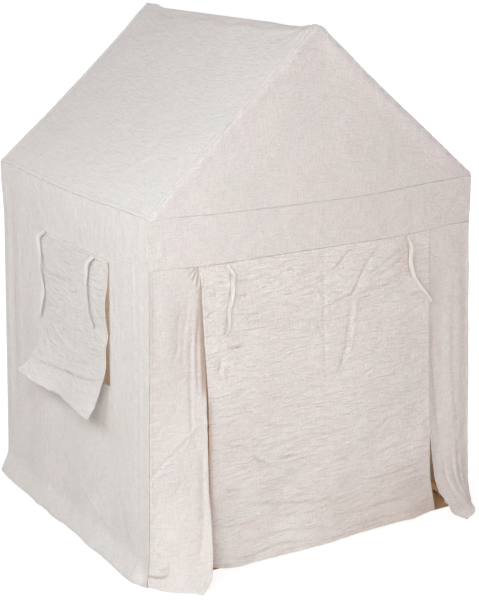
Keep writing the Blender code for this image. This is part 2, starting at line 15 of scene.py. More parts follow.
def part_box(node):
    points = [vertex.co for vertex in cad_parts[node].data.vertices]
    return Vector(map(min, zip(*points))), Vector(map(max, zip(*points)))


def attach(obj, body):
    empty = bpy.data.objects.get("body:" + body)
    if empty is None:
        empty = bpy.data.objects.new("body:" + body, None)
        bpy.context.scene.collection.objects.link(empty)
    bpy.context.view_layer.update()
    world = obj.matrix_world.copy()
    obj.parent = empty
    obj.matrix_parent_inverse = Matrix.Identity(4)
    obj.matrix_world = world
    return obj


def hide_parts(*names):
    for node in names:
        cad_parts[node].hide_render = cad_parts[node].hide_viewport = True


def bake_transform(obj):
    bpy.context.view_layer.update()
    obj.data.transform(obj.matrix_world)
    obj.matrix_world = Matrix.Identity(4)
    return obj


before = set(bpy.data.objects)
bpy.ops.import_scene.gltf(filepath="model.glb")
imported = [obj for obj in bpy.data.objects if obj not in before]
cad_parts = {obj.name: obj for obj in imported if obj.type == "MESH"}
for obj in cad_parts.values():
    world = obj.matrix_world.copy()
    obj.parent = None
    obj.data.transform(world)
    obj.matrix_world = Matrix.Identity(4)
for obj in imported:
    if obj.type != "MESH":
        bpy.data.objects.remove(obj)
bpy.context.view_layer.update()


# Sizes, in metres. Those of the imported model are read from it

def box_middle(node):
    low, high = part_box(node)
    return (low + high) / 2


MIDDLE = Vector((box_middle("ridge_pole").x, box_middle("ridge_pole").y, 0))
ROOF_LOW, ROOF_HIGH = (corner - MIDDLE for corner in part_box("roof_left"))
HALF_WIDTH = -ROOF_LOW.x
HALF_DEPTH = ROOF_HIGH.y
RIDGE_HEIGHT = ROOF_HIGH.z
EAVE_HEIGHT = 0.985
WINDOW_ENDS, WINDOW_HEIGHTS = (-0.246, 0.185), (0.484, 0.822)
FLAP_TOP = 0.825
FLAP_LENGTH = 0.435
FLAP_WIDTH = WINDOW_ENDS[1] - WINDOW_ENDS[0]
DOOR_TOP = (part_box("valance_front")[0] - MIDDLE).z
DOOR_AXIS = Vector((0, -(HALF_DEPTH + 0.00075), DOOR_TOP - 0.0009))
ROOF_RISE = RIDGE_HEIGHT - EAVE_HEIGHT
SLOPE = math.atan2(ROOF_RISE, HALF_WIDTH)

CLOTH = 0.0011            # thickness of the canvas
SIDE_FLARE = 0.030        # how far the walls stand out at the floor
FRONT_FLARE = 0.005
EAVE_SAG = 0.012
FRONT_SEAM_SAG = 0.019
ROOF_BELLY = 0.004
RIDGE_DIP = 0.0085


# Numbers and curves over whole grids

def ease(t):
    """Smooth step from 0 to 1."""
    t = np.clip(t, 0, 1)
    return t * t * (3 - 2 * t)


def mix(a, b, t):
    return a + (b - a) * t


def peak(x, width):
    """1 where x is 0, fading away over about this width."""
    return np.exp(-(x / width) ** 2)


def through(x, points):
    """Smooth curve through points of (place, value), read at x."""
    places, values = (np.array(v, float) for v in zip(*sorted(points)))
    slopes = np.gradient(values, places)
    x = np.clip(x, places[0], places[-1])
    k = np.clip(np.searchsorted(places, x) - 1, 0, len(places) - 2)
    span = places[k + 1] - places[k]
    t = (x - places[k]) / span
    a, b = values[k], values[k + 1]
    return (a * (1 + 2 * t) * (1 - t) ** 2 + b * t * t * (3 - 2 * t)
            + span * slopes[k] * t * (1 - t) ** 2 - span * slopes[k + 1] * t * t * (1 - t))


def curve(x, *points):
    """Smooth curve through points given in millimetres, read at x in metres."""
    return through(x, (np.array(points) / 1000).tolist())


def smooth_line(points, count):
    """Even points along a smooth curve through these points."""
    points = np.array(points, float)
    if len(points) == 2:
        return points[0] + (points[1] - points[0]) * np.linspace(0, 1, 3)[:, None]
    knots = np.concatenate([[0], np.cumsum(np.linalg.norm(np.diff(points, axis=0), axis=1))])
    at = np.linspace(0, knots[-1], count)
    columns = [through(at, list(zip(knots, points[:, i]))) for i in range(points.shape[1])]
    return np.stack(columns, axis=1)


def noise(u, v, size, seed):
    """Soft noise from -1 to 1, with features of this size along u and v."""
    grid = np.random.default_rng(seed).uniform(-1, 1, (64, 64))
    x, y = u / size[0] + 31.7, v / size[1] + 17.3
    i, j = np.floor(x).astype(int), np.floor(y).astype(int)
    a, b = ease(x - i), ease(y - j)
    pick = [[grid[(i + di) % 64, (j + dj) % 64] for dj in (0, 1)] for di in (0, 1)]
    return mix(mix(pick[0][0], pick[0][1], b), mix(pick[1][0], pick[1][1], b), a)


def least(*distances):
    return np.minimum.reduce(distances)


# Places of the grid lines beside an edge, in millimetres from it
BY_SEAM = np.array((0, 0.3, 0.9, 1.8, 3, 5, 7.5, 9.3, 10.2, 11.2, 14))
BY_HEM = np.array((0, 0.4, 1, 2, 3.5, 5.5, 7, 8.5, 10, 13))
BY_RAKE = np.array((0, 0.4, 1, 2, 3.5, 5.5, 8, 10, 11.5, 14, 18, 23))
BY_JAMB_HEM = np.array((0, 0.4, 1, 2, 3.5, 5.5, 8, 9.5, 10.5, 12, 15))
BY_JAMB_HEAD = np.array((0, 0.3, 0.9, 1.8, 3, 5, 7.5, 10))


def spaced(low, high, step, *stops, edges=(True, True)):
    """Places from low to high: about step apart, closer at sewn edges, with extra stops put in."""
    near = BY_SEAM / 1000
    marks = sorted({low, high, *stops})
    places = []
    for a, b in zip(marks, marks[1:]):
        places += list(np.linspace(a, b, max(2, round((b - a) / step) + 1)))
    places = np.array(sorted(set(np.round(places, 7))))
    if edges[0]:
        places = np.concatenate([low + near, places[places > low + near[-1] + 0.5 * step]])
    if edges[1]:
        places = np.concatenate([places[places < high - near[-1] - 0.5 * step], (high - near)[::-1]])
    return places


def edged(near, size, middle):
    """Shares of a span of this size: `middle`, and closer ones by both edges."""
    near = near / 1000 / size
    return np.concatenate([near, middle, (1 - near)[::-1]])


def inner(places, margin):
    return places[(places > margin) & (places < 1 - margin)]


# Meshes

def placed(name, data):
    """A new object in the scene."""
    made = bpy.data.objects.new(name, data)
    bpy.context.scene.collection.objects.link(made)
    return made


def normals(points, outward):
    """Unit normal at each point of a grid, on the side of `outward`."""
    across = np.gradient(points, axis=0)
    along = np.gradient(points, axis=1)
    n = np.cross(across, along)
    n /= np.maximum(np.linalg.norm(n, axis=2, keepdims=True), 1e-12)
    return n if (n * np.array(outward)).sum() > 0 else -n


def grid_object(name, points, uv, outward, hole, tan):
    """Mesh object from a grid of points in the frame's own place, with uv in metres."""
    rows, columns = points.shape[:2]
    index = np.arange(rows * columns).reshape(rows, columns)
    quads = np.stack([index[:-1, :-1], index[1:, :-1], index[1:, 1:], index[:-1, 1:]], axis=-1)
    quads = quads.reshape(-1, 4)
    if hole is not None:
        quads = quads[~hole.reshape(-1)]
    middle = quads[len(quads) // 2]
    flat = points.reshape(-1, 3)
    n = np.cross(flat[middle[2]] - flat[middle[0]], flat[middle[3]] - flat[middle[1]])
    if n @ np.array(outward) < 0:
        quads = quads[:, ::-1]
    used = np.unique(quads)
    renumber = np.full(rows * columns, -1)
    renumber[used] = np.arange(len(used))
    quads = renumber[quads]
    mesh = bpy.data.meshes.new(name)
    mesh.vertices.add(len(used))
    mesh.vertices.foreach_set("co", (flat[used] + np.array(MIDDLE)).astype(np.float32).ravel())
    mesh.loops.add(quads.size)
    mesh.loops.foreach_set("vertex_index", quads.astype(np.int32).ravel())
    mesh.polygons.add(len(quads))
    mesh.polygons.foreach_set("loop_start", np.arange(0, quads.size, 4, dtype=np.int32))
    layer = mesh.uv_layers.new(name="UVMap")
    layer.data.foreach_set("uv", uv.reshape(-1, 2)[used][quads.ravel()].astype(np.float32).ravel())
    # Share of painted shade at each point, which the material turns into a darker, warmer colour
    painted_shade_layer = mesh.attributes.new("tan", "FLOAT", "POINT")
    painted_shade_layer.data.foreach_set("value", tan.reshape(-1)[used].astype(np.float32))
    mesh.update(calc_edges=True)
    mesh.validate()
    mesh.shade_smooth()
    return placed(name, mesh)


class Panel:
    """One panel of cloth: a grid of points, with heights and seams worked out over it.

    a and b are places on the cloth in metres, and outward is the side that shows.
    """

    def __init__(self, us, vs, shape, outward, plane):
        self.u, self.v = np.meshgrid(us, vs, indexing="ij")
        self.points = np.stack(np.broadcast_arrays(*shape(self.u, self.v)), axis=-1).astype(float)
        self.outward = outward
        self.a, self.b = (self.points[..., i] if isinstance(i, int) else i(self.u, self.v) for i in plane)
        self.height = np.zeros(self.u.shape)
        # Painted shade: how much darker and warmer the colour is made where folds and gaps lie in shadow
        self.tan = np.zeros(self.u.shape)
        self.dive = np.zeros(self.points.shape)

    def sew(self, distance, direction, depth=2.2, width=2.8):
        """Sinks the edge at this distance, where it is sewn to its neighbour, by millimetres."""
        fall = np.clip(1 - 1000 * distance / width, 0, 1) ** 2
        self.dive += (fall * depth / 1000)[..., None] * np.array(Vector(direction).normalized())

    def noise(self, size, seed):
        return noise(self.a, self.b, size, seed)

    def swell(self, where, *waves):
        """Raises and lowers the cloth by noise: each wave has its height and size in mm, and its seed."""
        for rise, size, seed in waves:
            self.height += where * rise / 1000 * self.noise(np.array(size) / 1000, seed)

    def trace(self, values, line, lift, width, lean=0.0):
        """Adds a crease along a line of (a, b) points: a ridge, or a valley where lift is below 0.

        lean makes one side of it stand higher than the other.
        """
        line = smooth_line(line, 14)
        reach = 3.2 * width
        low, high = line.min(axis=0) - reach, line.max(axis=0) + reach
        near = (self.a > low[0]) & (self.a < high[0]) & (self.b > low[1]) & (self.b < high[1])
        if not near.any():
            return
        pa, pb = self.a[near], self.b[near]
        best = np.full(pa.shape, 1e9)
        along = np.zeros(pa.shape)
        side = np.zeros(pa.shape)
        for k, (start, stop) in enumerate(zip(line, line[1:])):
            d = stop - start
            t = np.clip(((pa - start[0]) * d[0] + (pb - start[1]) * d[1]) / (d @ d), 0, 1)
            da, db = pa - start[0] - t * d[0], pb - start[1] - t * d[1]
            distance = np.hypot(da, db)
            closer = distance < best
            best = np.where(closer, distance, best)
            along = np.where(closer, (k + t) / (len(line) - 1), along)
            side = np.where(closer, np.sign(da * d[1] - db * d[0]), side)
        fade = np.clip(np.sin(np.pi * np.clip(along, 0.02, 0.98)), 0, 1) ** 0.6
        best = best / width
        shape = np.exp(-best ** 1.5) + lean * side * best * peak(best, 1.6)
        values[near] += lift * fade * shape

    def crease(self, *line, lift, width, lean=0.0, tan=None, tint=90):
        """A crease, with painted shade in its valleys: the share that is given, or else one that grows with
        their depth.
        """
        self.trace(self.height, line, lift, width, lean)
        self.trace(self.tan, line, max(0, -tint * lift) if tan is None else tan, 0.8 * width)

    def folds(self, *rows, **looks):
        """Creases in millimetres: the points of each, then its lift and its width."""
        for *line, lift, width in rows:
            line = [(a / 1000, b / 1000) for a, b in line]
            self.crease(*line, lift=lift / 1000, width=width / 1000, **looks)

    def crumple(self, seed, count, lengths, widths, lifts, angle, spread, within=None):
        """Many small creases in millimetres, at random places and about one direction (0 lies along a)."""
        rng = np.random.default_rng(seed)
        whole = self.a.min(), self.a.max(), self.b.min(), self.b.max()
        low_a, high_a, low_b, high_b = np.array(within) / 1000 if within else whole
        for _ in range(count):
            a, b = rng.uniform(low_a, high_a), rng.uniform(low_b, high_b)
            turn = math.radians(angle + rng.normal(0, spread))
            half = rng.uniform(*lengths) / 2000
            bow = rng.normal(0, 0.16) * half
            da, db = half * math.cos(turn), half * math.sin(turn)
            line = [(a - da, b - db), (a - bow * math.sin(turn), b + bow * math.cos(turn)), (a + da, b + db)]
            sign = rng.choice((-1.0, 1.0))
            lift, width = sign * rng.uniform(*lifts) / 1000, rng.uniform(*widths) / 1000
            self.trace(self.height, line, lift, width, rng.normal(0, 0.35))

    def build(self, node, held, rests_on, body="tent", hole=None, hinge=None, material=None):
        """Makes the panel's piece, in place of this node's solid."""
        points = self.points + normals(self.points, self.outward) * self.height[..., None] + self.dive
        uv = np.stack([self.a, self.b], axis=-1)
        piece = grid_object(node + "_cover", points, uv, self.outward, hole, np.clip(self.tan, 0, 1))
        piece.data.materials.append(material or COTTON)
        area = sum(face.area for face in piece.data.polygons)
        width = np.linalg.norm(np.diff(points, axis=0), axis=2).sum(axis=0).max()
        length = np.linalg.norm(np.diff(points, axis=1), axis=2).sum(axis=1).max()
        solid = piece.modifiers.new("thickness", "SOLIDIFY")
        solid.thickness = CLOTH
        solid.offset = -1
        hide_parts(node)
        if hinge:
            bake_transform(piece)
        else:
            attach(piece, body)
        area = min(area, width * length)


# Seams and hems, as heights over the cloth at a distance from its edge

def band(d, low, high, lift=0.7):
    """A raised strip, such as a felled seam or a hem, with a stitch line by each edge, in millimetres."""
    d = 1000 * d
    soft = 0.9
    raised = ease((d - low) / soft + 0.5) * ease((high - d) / soft + 0.5)
    stitches = sum(peak(d - line, 1.1) for line in (low + 1.8, high - 1.8))
    return lift / 1000 * (raised - 0.35 * stitches)


def pucker(along, d, seed, lift, reach, size):
    """Small puckers across a seam, in millimetres."""
    return lift / 1000 * np.exp(-1000 * d / reach) * noise(along, d, (size / 1000, 0.03), seed)


# Shape of the cover, in metres from the middle of the frame

def side_base(z):
    return HALF_WIDTH + SIDE_FLARE * (1 - z / EAVE_HEIGHT)


def front_base(z):
    return HALF_DEPTH + FRONT_FLARE * (1 - z / EAVE_HEIGHT)


def hem_share(z, rise=0.110):
    """1 at the floor, 0 above the part of the wall that spreads there."""
    return ease(1 - z / rise)


def side_reach(z, at_hem):
    """A side wall that stands out this far at the floor."""
    return side_base(z) + (at_hem - side_base(0)) * hem_share(z, 0.070)


def front_reach(z, at_hem):
    return front_base(z) + (at_hem - front_base(0)) * hem_share(z)


def full(side, z, t):
    """How much further a side wall stands out: the connectors push it out under the eave.

    t is the share of the way to the back.
    """
    if side < 0:
        return mix(0.0040, 0.0084, ease(t)) * ease((z - 0.79) / 0.19)
    return curve(z, (0, -3), (130, -3.5), (300, -1.8), (400, 1), (600, 2.2), (700, 4.9), (800, 5),
                 (843, 6.7), (900, 11.7), (937, 14.5), (985, 15.9))


def front_corner(side, z):
    """Seam between a side wall and the front: x and y, both to be mirrored to their side."""
    x, y = (0.533, 0.471) if side < 0 else (0.539, 0.479)
    return side_reach(z, x) + full(side, z, 0), front_reach(z, y)


def back_corner(side, z):
    return side_reach(z, 0.546) + full(side, z, 1), front_reach(z, 0.490)


# How much the cloth stands up at the front slope, in millimetres, by distance from the middle
RAKE_LIFT = ((0, 1), (10, 5.5), (17, 8.5), (26, 10.5), (36, 9.2), (48, 8.4), (63, 8.8), (78, 9.5),
             (110, 11), (175, 12.9), (245, 15.5), (315, 15), (360, 11.5), (420, 6), (470, 2), (494, 0))


def eave_sag(y):
    along = np.clip((y + HALF_DEPTH) / (2 * HALF_DEPTH), 0, 1)
    return EAVE_SAG * np.sin(np.pi * along ** 0.8) ** 2


def roof_height(x, y):
    up = np.clip(1 - np.abs(x) / HALF_WIDTH, 0, 1)
    along = np.clip((y + HALF_DEPTH) / (2 * HALF_DEPTH), 0, 1)
    over_connectors = 0.47 * ease((y - 0.385) / 0.03) + 0.30 * ease((-0.395 - y) / 0.015)
    ridge = RIDGE_DIP * ease((HALF_DEPTH + y - 0.020) / 0.045) * (1 - over_connectors)
    belly = ROOF_BELLY * np.sin(np.pi * along) ** 2
    ridge = ridge + 0.0025 * peak(y + 0.33, 0.055)
    over_poles = ease((along - 0.86) / 0.08)
    dip = (0.0107 * (1 - 0.30 * over_poles) + belly) * np.sin(np.pi * up) ** 2
    dip = dip + ridge * up ** 6 + eave_sag(y) * (1 - up) ** 8
    near_left = ease(-x / HALF_WIDTH) * ease((0.25 - along) / 0.25)
    dip = dip + 0.0052 * near_left * (1 - up) ** 6
    dip = dip + 0.0025 * ease((up - 0.5) / 0.3) * (1 - up ** 6) * ease((along - 0.8) / 0.2)
    dip = dip - 0.0042 * ease((along - 0.88) / 0.04) * ease((up - 0.85) / 0.06)
    return EAVE_HEIGHT + ROOF_RISE * up - dip + curve(np.abs(x), *RAKE_LIFT) * (1 - along) ** 1.5


def gable_seam(x):
    """Seam between a gable and what hangs under it."""
    seam = EAVE_HEIGHT - 0.001 - FRONT_SEAM_SAG * np.cos(np.pi * x / (2 * HALF_WIDTH)) ** 2
    seam = seam - curve(x, (-494, 8.2), (-450, 7.5), (-320, 7.6), (-200, 4), (-80, 0.8), (30, 0.6),
                        (90, 3), (240, 6.6), (380, 6.6), (494, 5.5))
    return np.minimum(seam, roof_height(x, HALF_DEPTH))


def valance_seam(x):
    """Bottom seam of the front band."""
    return curve(x, (-500, 848), (-450, 846), (-370, 840), (-150, 838.5), (50, 837.5), (290, 837.5),
                 (370, 842), (430, 847), (500, 848))


def door_edges(z):
    """Left and right edges of the door flap."""
    left = curve(z, (0, -348), (300, -347), (507, -346), (618, -350), (741, -355), (802, -357.5),
                 (840, -365.5))
    right = curve(z, (0, 398.5), (57, 391), (148, 385), (221, 383), (415, 379), (611, 374.5),
                  (700, 372.5), (840, 371))
    return left, right


def door_reach(x, z):
    """How far the door flap stands in front of the middle."""
    down = (DOOR_AXIS.z - z) / (DOOR_AXIS.z - 0.006)
    across = (x + 0.362) / 0.728
    wave = 0.004 * np.sin(2 * np.pi * (1.5 * across + 0.15)) * np.sin(np.pi * down) ** 2
    ripple = 0.0024 * np.sin(2 * np.pi * (3 * across + 2 * down)) * ease(2 * down - 1)
    hem = curve(x, (-350, 479), (-319, 483), (-290, 498), (-246, 504), (-103, 504), (34, 509),
                (144, 499), (247, 499), (305, 505), (397, 487))
    return -DOOR_AXIS.y + FRONT_FLARE * down + wave + ripple + (hem - 0.481) * hem_share(z)


def flap_out(s, t):
    """How far the window flap stands off the wall: s runs along its seam, t from the seam to its hem."""
    ends = mix(0.052, 0.073, s)
    kick = mix(0.033, ends, np.cos(np.pi * s) ** 2)
    return kick * np.clip((t - 0.62) / 0.38, 0, 1) ** 1.9


def flap_point(s, t):
    y = mix(*WINDOW_ENDS, s)
    out = flap_out(s, t)
    lift = out * out / (2 * FLAP_LENGTH * 0.38)
    lift = lift + ease((t - 0.6) / 0.4) * (0.016 * s ** 5 + 0.006 * np.sin(np.pi * s) ** 4)
    z = FLAP_TOP - FLAP_LENGTH * t + lift
    thick = 0.0008 * np.minimum(1.0, t * 43.5)
    slack = 0.002 * np.sin(np.pi * t)
    wall = side_reach(z, 0.55) - side_base(FLAP_TOP) + 0.005 * ease(t)
    return -(side_base(FLAP_TOP) + 0.0009 + wall + thick + slack + out), y, z


# Panels of the cover

SLOPE_LENGTH = math.hypot(HALF_WIDTH, ROOF_RISE)
ROOF_OUT = {side: Vector((side * math.sin(SLOPE), 0, math.cos(SLOPE))) for side in (-1, 1)}
IN_FRONT, IN_BACK = Vector((0, 1, 0)), Vector((0, -1, 0))


def inward(side):
    return Vector((-side, 0, 0))


def make_roof(side, name, seed):
    along = spaced(-HALF_DEPTH, HALF_DEPTH, 0.0075)
    down = spaced(0, SLOPE_LENGTH, 0.0075)

    def shape(y, s):
        x = side * HALF_WIDTH * s / SLOPE_LENGTH
        fuller = full(side, 1, (y + HALF_DEPTH) / (2 * HALF_DEPTH)) * (s / SLOPE_LENGTH) ** 3
        return x + side * fuller, y, roof_height(x, y)

    p = Panel(along, down, shape, ROOF_OUT[side], (1, lambda y, s: s))
    y, s = p.a, p.b
    front, back, eave = y + HALF_DEPTH, HALF_DEPTH - y, SLOPE_LENGTH - s
    edge = least(front, back, s, eave)
    free = ease(edge / 0.05)
    p.swell(free, (1.6, (220, 160), seed), (0.7, (75, 55), seed + 1))
    p.swell(ease(edge / 0.012), (0.25, (18, 22), seed + 2))
    p.crumple(seed + 3, 30, (50, 180), (5, 10), (0.4, 1.2), 30, 45)
    p.crumple(seed + 4, 40, (20, 70), (4.5, 7), (0.2, 0.6), 0, 60)
    for d in (front, back):
        p.height += band(d, 1.2, 10.5, 1.1) + pucker(s, d, seed + 5, 0.8, 20, 11)
        p.height -= 0.0016 * peak(d - 0.017, 0.006)
    p.height += pucker(y, eave, seed + 6, 0.6, 18, 12)
    p.folds(((-446, -5), (-444, 14), (-449, 34), -3.4, 5), ((-462, -5), (-460, 12), (-466, 30), 2.4, 5))
    for y_end, s_end, lift in ((-375, 18, -2.2), (-350, 45, 1.4), (-372, 70, -2.2), (-395, 100, -1.8),
                               (-330, 80, -1.4), (-425, 115, 1.2)):
        halfway = (mix(-450, y_end, 0.5), mix(10, s_end, 0.5))
        p.folds(((-450, 16), halfway, (y_end, s_end), lift, 6), lean=0.4)
    for middle, reach, lift in ((-240, 100, -1.6), (-50, 120, -1.8), (140, 90, -1.4), (300, 100, -1.7)):
        p.folds(((middle - reach, 20), (middle, 36), (middle + 0.8 * reach, 18), lift, 6.5), lean=0.5)
    out = ROOF_OUT[side]
    p.sew(front, IN_FRONT - out)
    p.sew(back, IN_BACK - out)
    p.sew(s, (0, 0, -1), 1.2)
    p.height += band(eave, 3, 10.5, 1.2)
    p.sew(eave, inward(side) - out, 3.6, 4.2)
    p.build(name, "stretched", [name.replace("roof", "rafter_front"), "ridge_pole"])


def make_gable(side, name, seed):
    across = spaced(-HALF_WIDTH, HALF_WIDTH, 0.0065 if side < 0 else 0.0095, 0)
    rows = edged(BY_RAKE, 0.42, np.linspace(0.065, 0.935, 62 if side < 0 else 42))

    def shape(x, t):
        end = 0.5 + 0.5 * side
        share = x / HALF_WIDTH
        fuller = full(1, 1, end) * np.clip(share, 0, 1) ** 3 - full(-1, 1, end) * np.clip(-share, 0, 1) ** 3
        return x + fuller, side * HALF_DEPTH, mix(gable_seam(x), roof_height(x, side * HALF_DEPTH), t)

    p = Panel(across, rows, shape, (0, side, 0), (0, 2))
    x, z = p.u, p.b
    edge = (roof_height(x, side * HALF_DEPTH) - z) * math.cos(SLOPE)
    foot = z - gable_seam(x)
    free = ease(least(edge, foot) / 0.05)
    p.height -= 0.003 * free
    p.swell(free, (2.2, (200, 160), seed), (0.7, (70, 50), seed + 1))
    p.swell(ease(least(edge, foot) / 0.012), (0.25, (18, 22), seed + 2))
    p.crumple(seed + 3, 16, (40, 140), (5, 9), (0.4, 1), 20, 50, (-350, 350, 980, 1350))
    p.crumple(seed + 4, 26, (20, 70), (4.5, 7), (0.2, 0.6), 0, 60, (-420, 420, 980, 1350))
    p.height -= 0.0026 * peak(edge, 0.010)
    p.height += pucker(x, edge, seed + 5, 0.8, 18, 10) + pucker(x, foot, seed + 6, 0.4, 14, 10)
    p.sew(edge, (0, -side, -0.4), 1)
    p.sew(foot, (0, -side, 0), 2.2 * (1 if side > 0 else ease((x + 0.475) / 0.06)))
    p.build(name, "stretched", [name.replace("gable", "rafter") + end for end in ("_left", "_right")])


def make_valance():
    across = spaced(-HALF_WIDTH, HALF_WIDTH, 0.0055)
    rows = edged(BY_SEAM, 0.13, np.linspace(0.15, 0.85, 18))

    def shape(x, t):
        z = mix(valance_seam(x), gable_seam(x), t)
        along = (x + HALF_WIDTH) / (2 * HALF_WIDTH)
        return mix(-front_corner(-1, z)[0], front_corner(1, z)[0], along), -front_base(z), z

    p = Panel(across, rows, shape, (0, -1, 0), (0, 2))
    x, z = p.a, p.b
    foot, head = z - valance_seam(x), gable_seam(x) - z
    left, right = x + front_corner(-1, z)[0], front_corner(1, z)[0] - x
    edge = least(foot, head, left, right)
    p.swell(ease(edge / 0.035), (1.4, (160, 100), 41), (0.8, (50, 60), 42))
    p.swell(ease(edge / 0.012), (0.25, (16, 20), 43))
    p.folds(((22, 964), (22, 842), -0.8, 4), ((312, 955), (309, 910), (314, 862), -1.3, 4.5),
            ((345, 950), (348, 910), (343, 868), 1.2, 5), ((360, 930), (362, 875), -1, 4),
            ((485, 958), (450, 925), (415, 892), 1.4, 6), ((470, 915), (430, 880), (400, 865), -1.1, 5),
            ((-470, 930), (-465, 860), 0.9, 5), ((-452, 900), (-455, 855), -0.9, 4))
    p.crumple(44, 60, (20, 80), (4, 6), (0.4, 1.1), 10, 50)
    p.height += band(foot, 0.8, 9.5, 0.6) * ease((x + 0.37) / 0.01)
    p.folds(((-490, 852), (-475, 854.5), (-460, 847.5), (-440, 846), 1.8, 4),
            ((-480, 860), (-468, 900), (-470, 950), 1.2, 4.8))
    p.height += pucker(x, foot, 45, 0.6, 14, 9) + pucker(x, head, 46, 0.4, 12, 10)
    p.sew(foot, IN_FRONT, 2.2 * (0.2 + 0.8 * ease((x + 0.45) / 0.06)))
    p.sew(head, IN_FRONT, 3 * ease((x + 0.475) / 0.06))
    p.sew(left, (1, 1, 0), 2.4, 1.6)
    p.sew(right, (-1, 1, 0), 2.4, 1.6)
    p.build("valance_front", "hung", ["gable_front_cover"])


def wall_rows(step, *stops):
    """Heights up to the last stop, then shares of the way on to the wall's top."""
    rows = spaced(0.0008, stops[-1], step, *stops[:-1], edges=(True, False))
    near = BY_SEAM / 1000 / 0.155
    rest = np.concatenate([np.linspace(0, 0.88, max(4, round(0.136 / step)))[1:], (1 - near)[::-1]])
    return np.concatenate([rows, rows[-1] + rest])


def stretch(v, fixed, top):
    """Height of a row: its own value up to `fixed`, then a share of the way to the top."""
    return np.where(v <= fixed, v, mix(fixed, top, v - fixed))


# How far out the left wall meets the floor, in millimetres, from front to back
LEFT_HEM = ((-471, 533), (-445, 547.5), (-420, 552.5), (-380, 554), (-330, 554.5), (-236, 555),
            (-155, 552.5), (-80, 546), (-20, 551), (42, 557.5), (81, 562), (130, 555), (190, 551.5),
            (255, 550.5), (320, 557.5), (390, 557), (476, 549))


def side_fold(side, t):
    """Soft upright folds of a side wall, at this share of the way to the back."""
    waves, start = (3, 0.1) if side < 0 else (4, 0.3)
    return 0.005 * np.sin(np.pi * t) ** 0.5 * np.sin(2 * np.pi * (waves * t + start))


def side_hem(side, y, t):
    """How far out a side wall meets the floor."""
    if side < 0:
        return mix(curve(y, *LEFT_HEM), 0.533, ease((-0.431 - y) / 0.04)) + side_fold(side, t)
    return mix(0.539, 0.546, ease(t / 0.1)) + side_fold(side, t)


def side_wall(side, step, ends=(), heights=WINDOW_HEIGHTS[1:]):
    """Panel of a side wall, and how far its points are from the front, back and top seams."""
    along = spaced(-HALF_DEPTH, HALF_DEPTH, step, *ends)

    def shape(u, v):
        z = stretch(v, heights[-1], roof_height(side * HALF_WIDTH, u))
        t = (u + HALF_DEPTH) / (2 * HALF_DEPTH)
        y = mix(-front_corner(side, z)[1], back_corner(side, z)[1], t)
        fold = side_fold(side, t)
        reach = side_reach(z, side_hem(side, y, t) - fold) + full(side, z, t)
        return side * (reach + fold * ease(1 - z / EAVE_HEIGHT)), y, z

    p = Panel(along, wall_rows(step, *heights), shape, (side, 0, 0), (1, 2))
    front, back = p.a + front_corner(side, p.b)[1], back_corner(side, p.b)[1] - p.a
    return p, front, back, roof_height(side * HALF_WIDTH, p.u) - p.b


def make_wall_left():
    p, front, back, head = side_wall(-1, 0.0065, WINDOW_ENDS, WINDOW_HEIGHTS)
    y, z = p.a, p.b
    beside = -least(y - WINDOW_ENDS[0], WINDOW_ENDS[1] - y, z - WINDOW_HEIGHTS[0], WINDOW_HEIGHTS[1] - z)
    edge = least(front, back, head)
    p.swell(ease(edge / 0.05) * ease(beside / 0.05), (2.0, (130, 300), 61), (0.8, (50, 80), 62))
    p.swell(ease(least(edge, beside) / 0.012), (0.25, (18, 22), 63))
    for place, lift, width in ((0.44, 0.0030, 0.012), (0.405, -0.0028, 0.012), (0.36, 0.0018, 0.014)):
        p.crease((place, 0.93), (place + 0.004, 0.62), (place - 0.004, 0.2), lift=lift, width=width)
    p.folds(((110, 218), (-150, 110), (-447, 15), 1.6, 9), lean=0.4)
    p.folds(((-300, 190), (-360, 100), (-410, 20), -1.6, 8),
            ((-180, 835), (-210, 900), (-220, 950), 1.2, 5), ((-150, 840), (-130, 890), -1, 4.5),
            ((160, 840), (200, 900), (210, 950), 1.2, 5), ((140, 840), (110, 880), -1, 4.5))
    for away, lift in ((0.029, -0.0012), (0.050, 0.0012), (0.063, -0.0014), (0.083, 0.0010)):
        line = [(away - front_corner(-1, h)[1], h) for h in (0.93, 0.62, 0.30, 0.10)]
        p.crease(*line, lift=lift, width=0.0050)
    p.crumple(64, 60, (30, 120), (5, 8), (0.4, 1.4), 90, 40)
    p.crumple(65, 160, (20, 60), (4.2, 6), (0.3, 1), 0, 60)
    p.crumple(68, 60, (20, 70), (4.2, 6), (0.5, 1.4), 100, 30, (-450, 450, 20, 220))
    p.crumple(69, 50, (20, 60), (4.2, 6), (0.5, 1.3), 15, 25, (190, 420, 450, 900))
    p.dive[..., 0] += 0.0018 * ease(1 - z / 0.025) * p.noise((0.03, 0.5), 58)
    p.dive[..., 2] += 0.0016 * ease(1 - z / 0.025) * np.maximum(0, p.noise((0.04, 0.5), 59))
    p.height += band(beside, 0.6, 13) + band(z, 0.4, 12, 1)
    p.height += pucker(z, front, 66, 0.6, 18, 10) + pucker(y, head, 67, 0.5, 15, 11)
    p.sew(front, (1, 1, 0), 2.4, 1.6)
    p.sew(back, (1, -1, 0))
    p.sew(head, inward(-1) - ROOF_OUT[-1], 3.8, 4.4)
    hole = (beside[:-1, :-1] + beside[1:, 1:] + beside[1:, :-1] + beside[:-1, 1:]) / 4 < 0
    p.build("wall_left", "hung", ["eave_rail_left"], hole=hole, material=WALLS)


def plain_wall(p, seed, edge):
    """Soft folds, crumples and hem of a wall that has nothing on it."""
    p.swell(ease(edge / 0.05), (2.4, (130, 340), seed), (1.0, (60, 90), seed + 1))
    p.crumple(seed + 2, 26, (50, 160), (7, 12), (0.5, 1.3), 90, 45)
    p.crumple(seed + 3, 30, (30, 80), (6, 9), (0.3, 0.8), 0, 60)
    p.height += band(p.b, 0.4, 12)


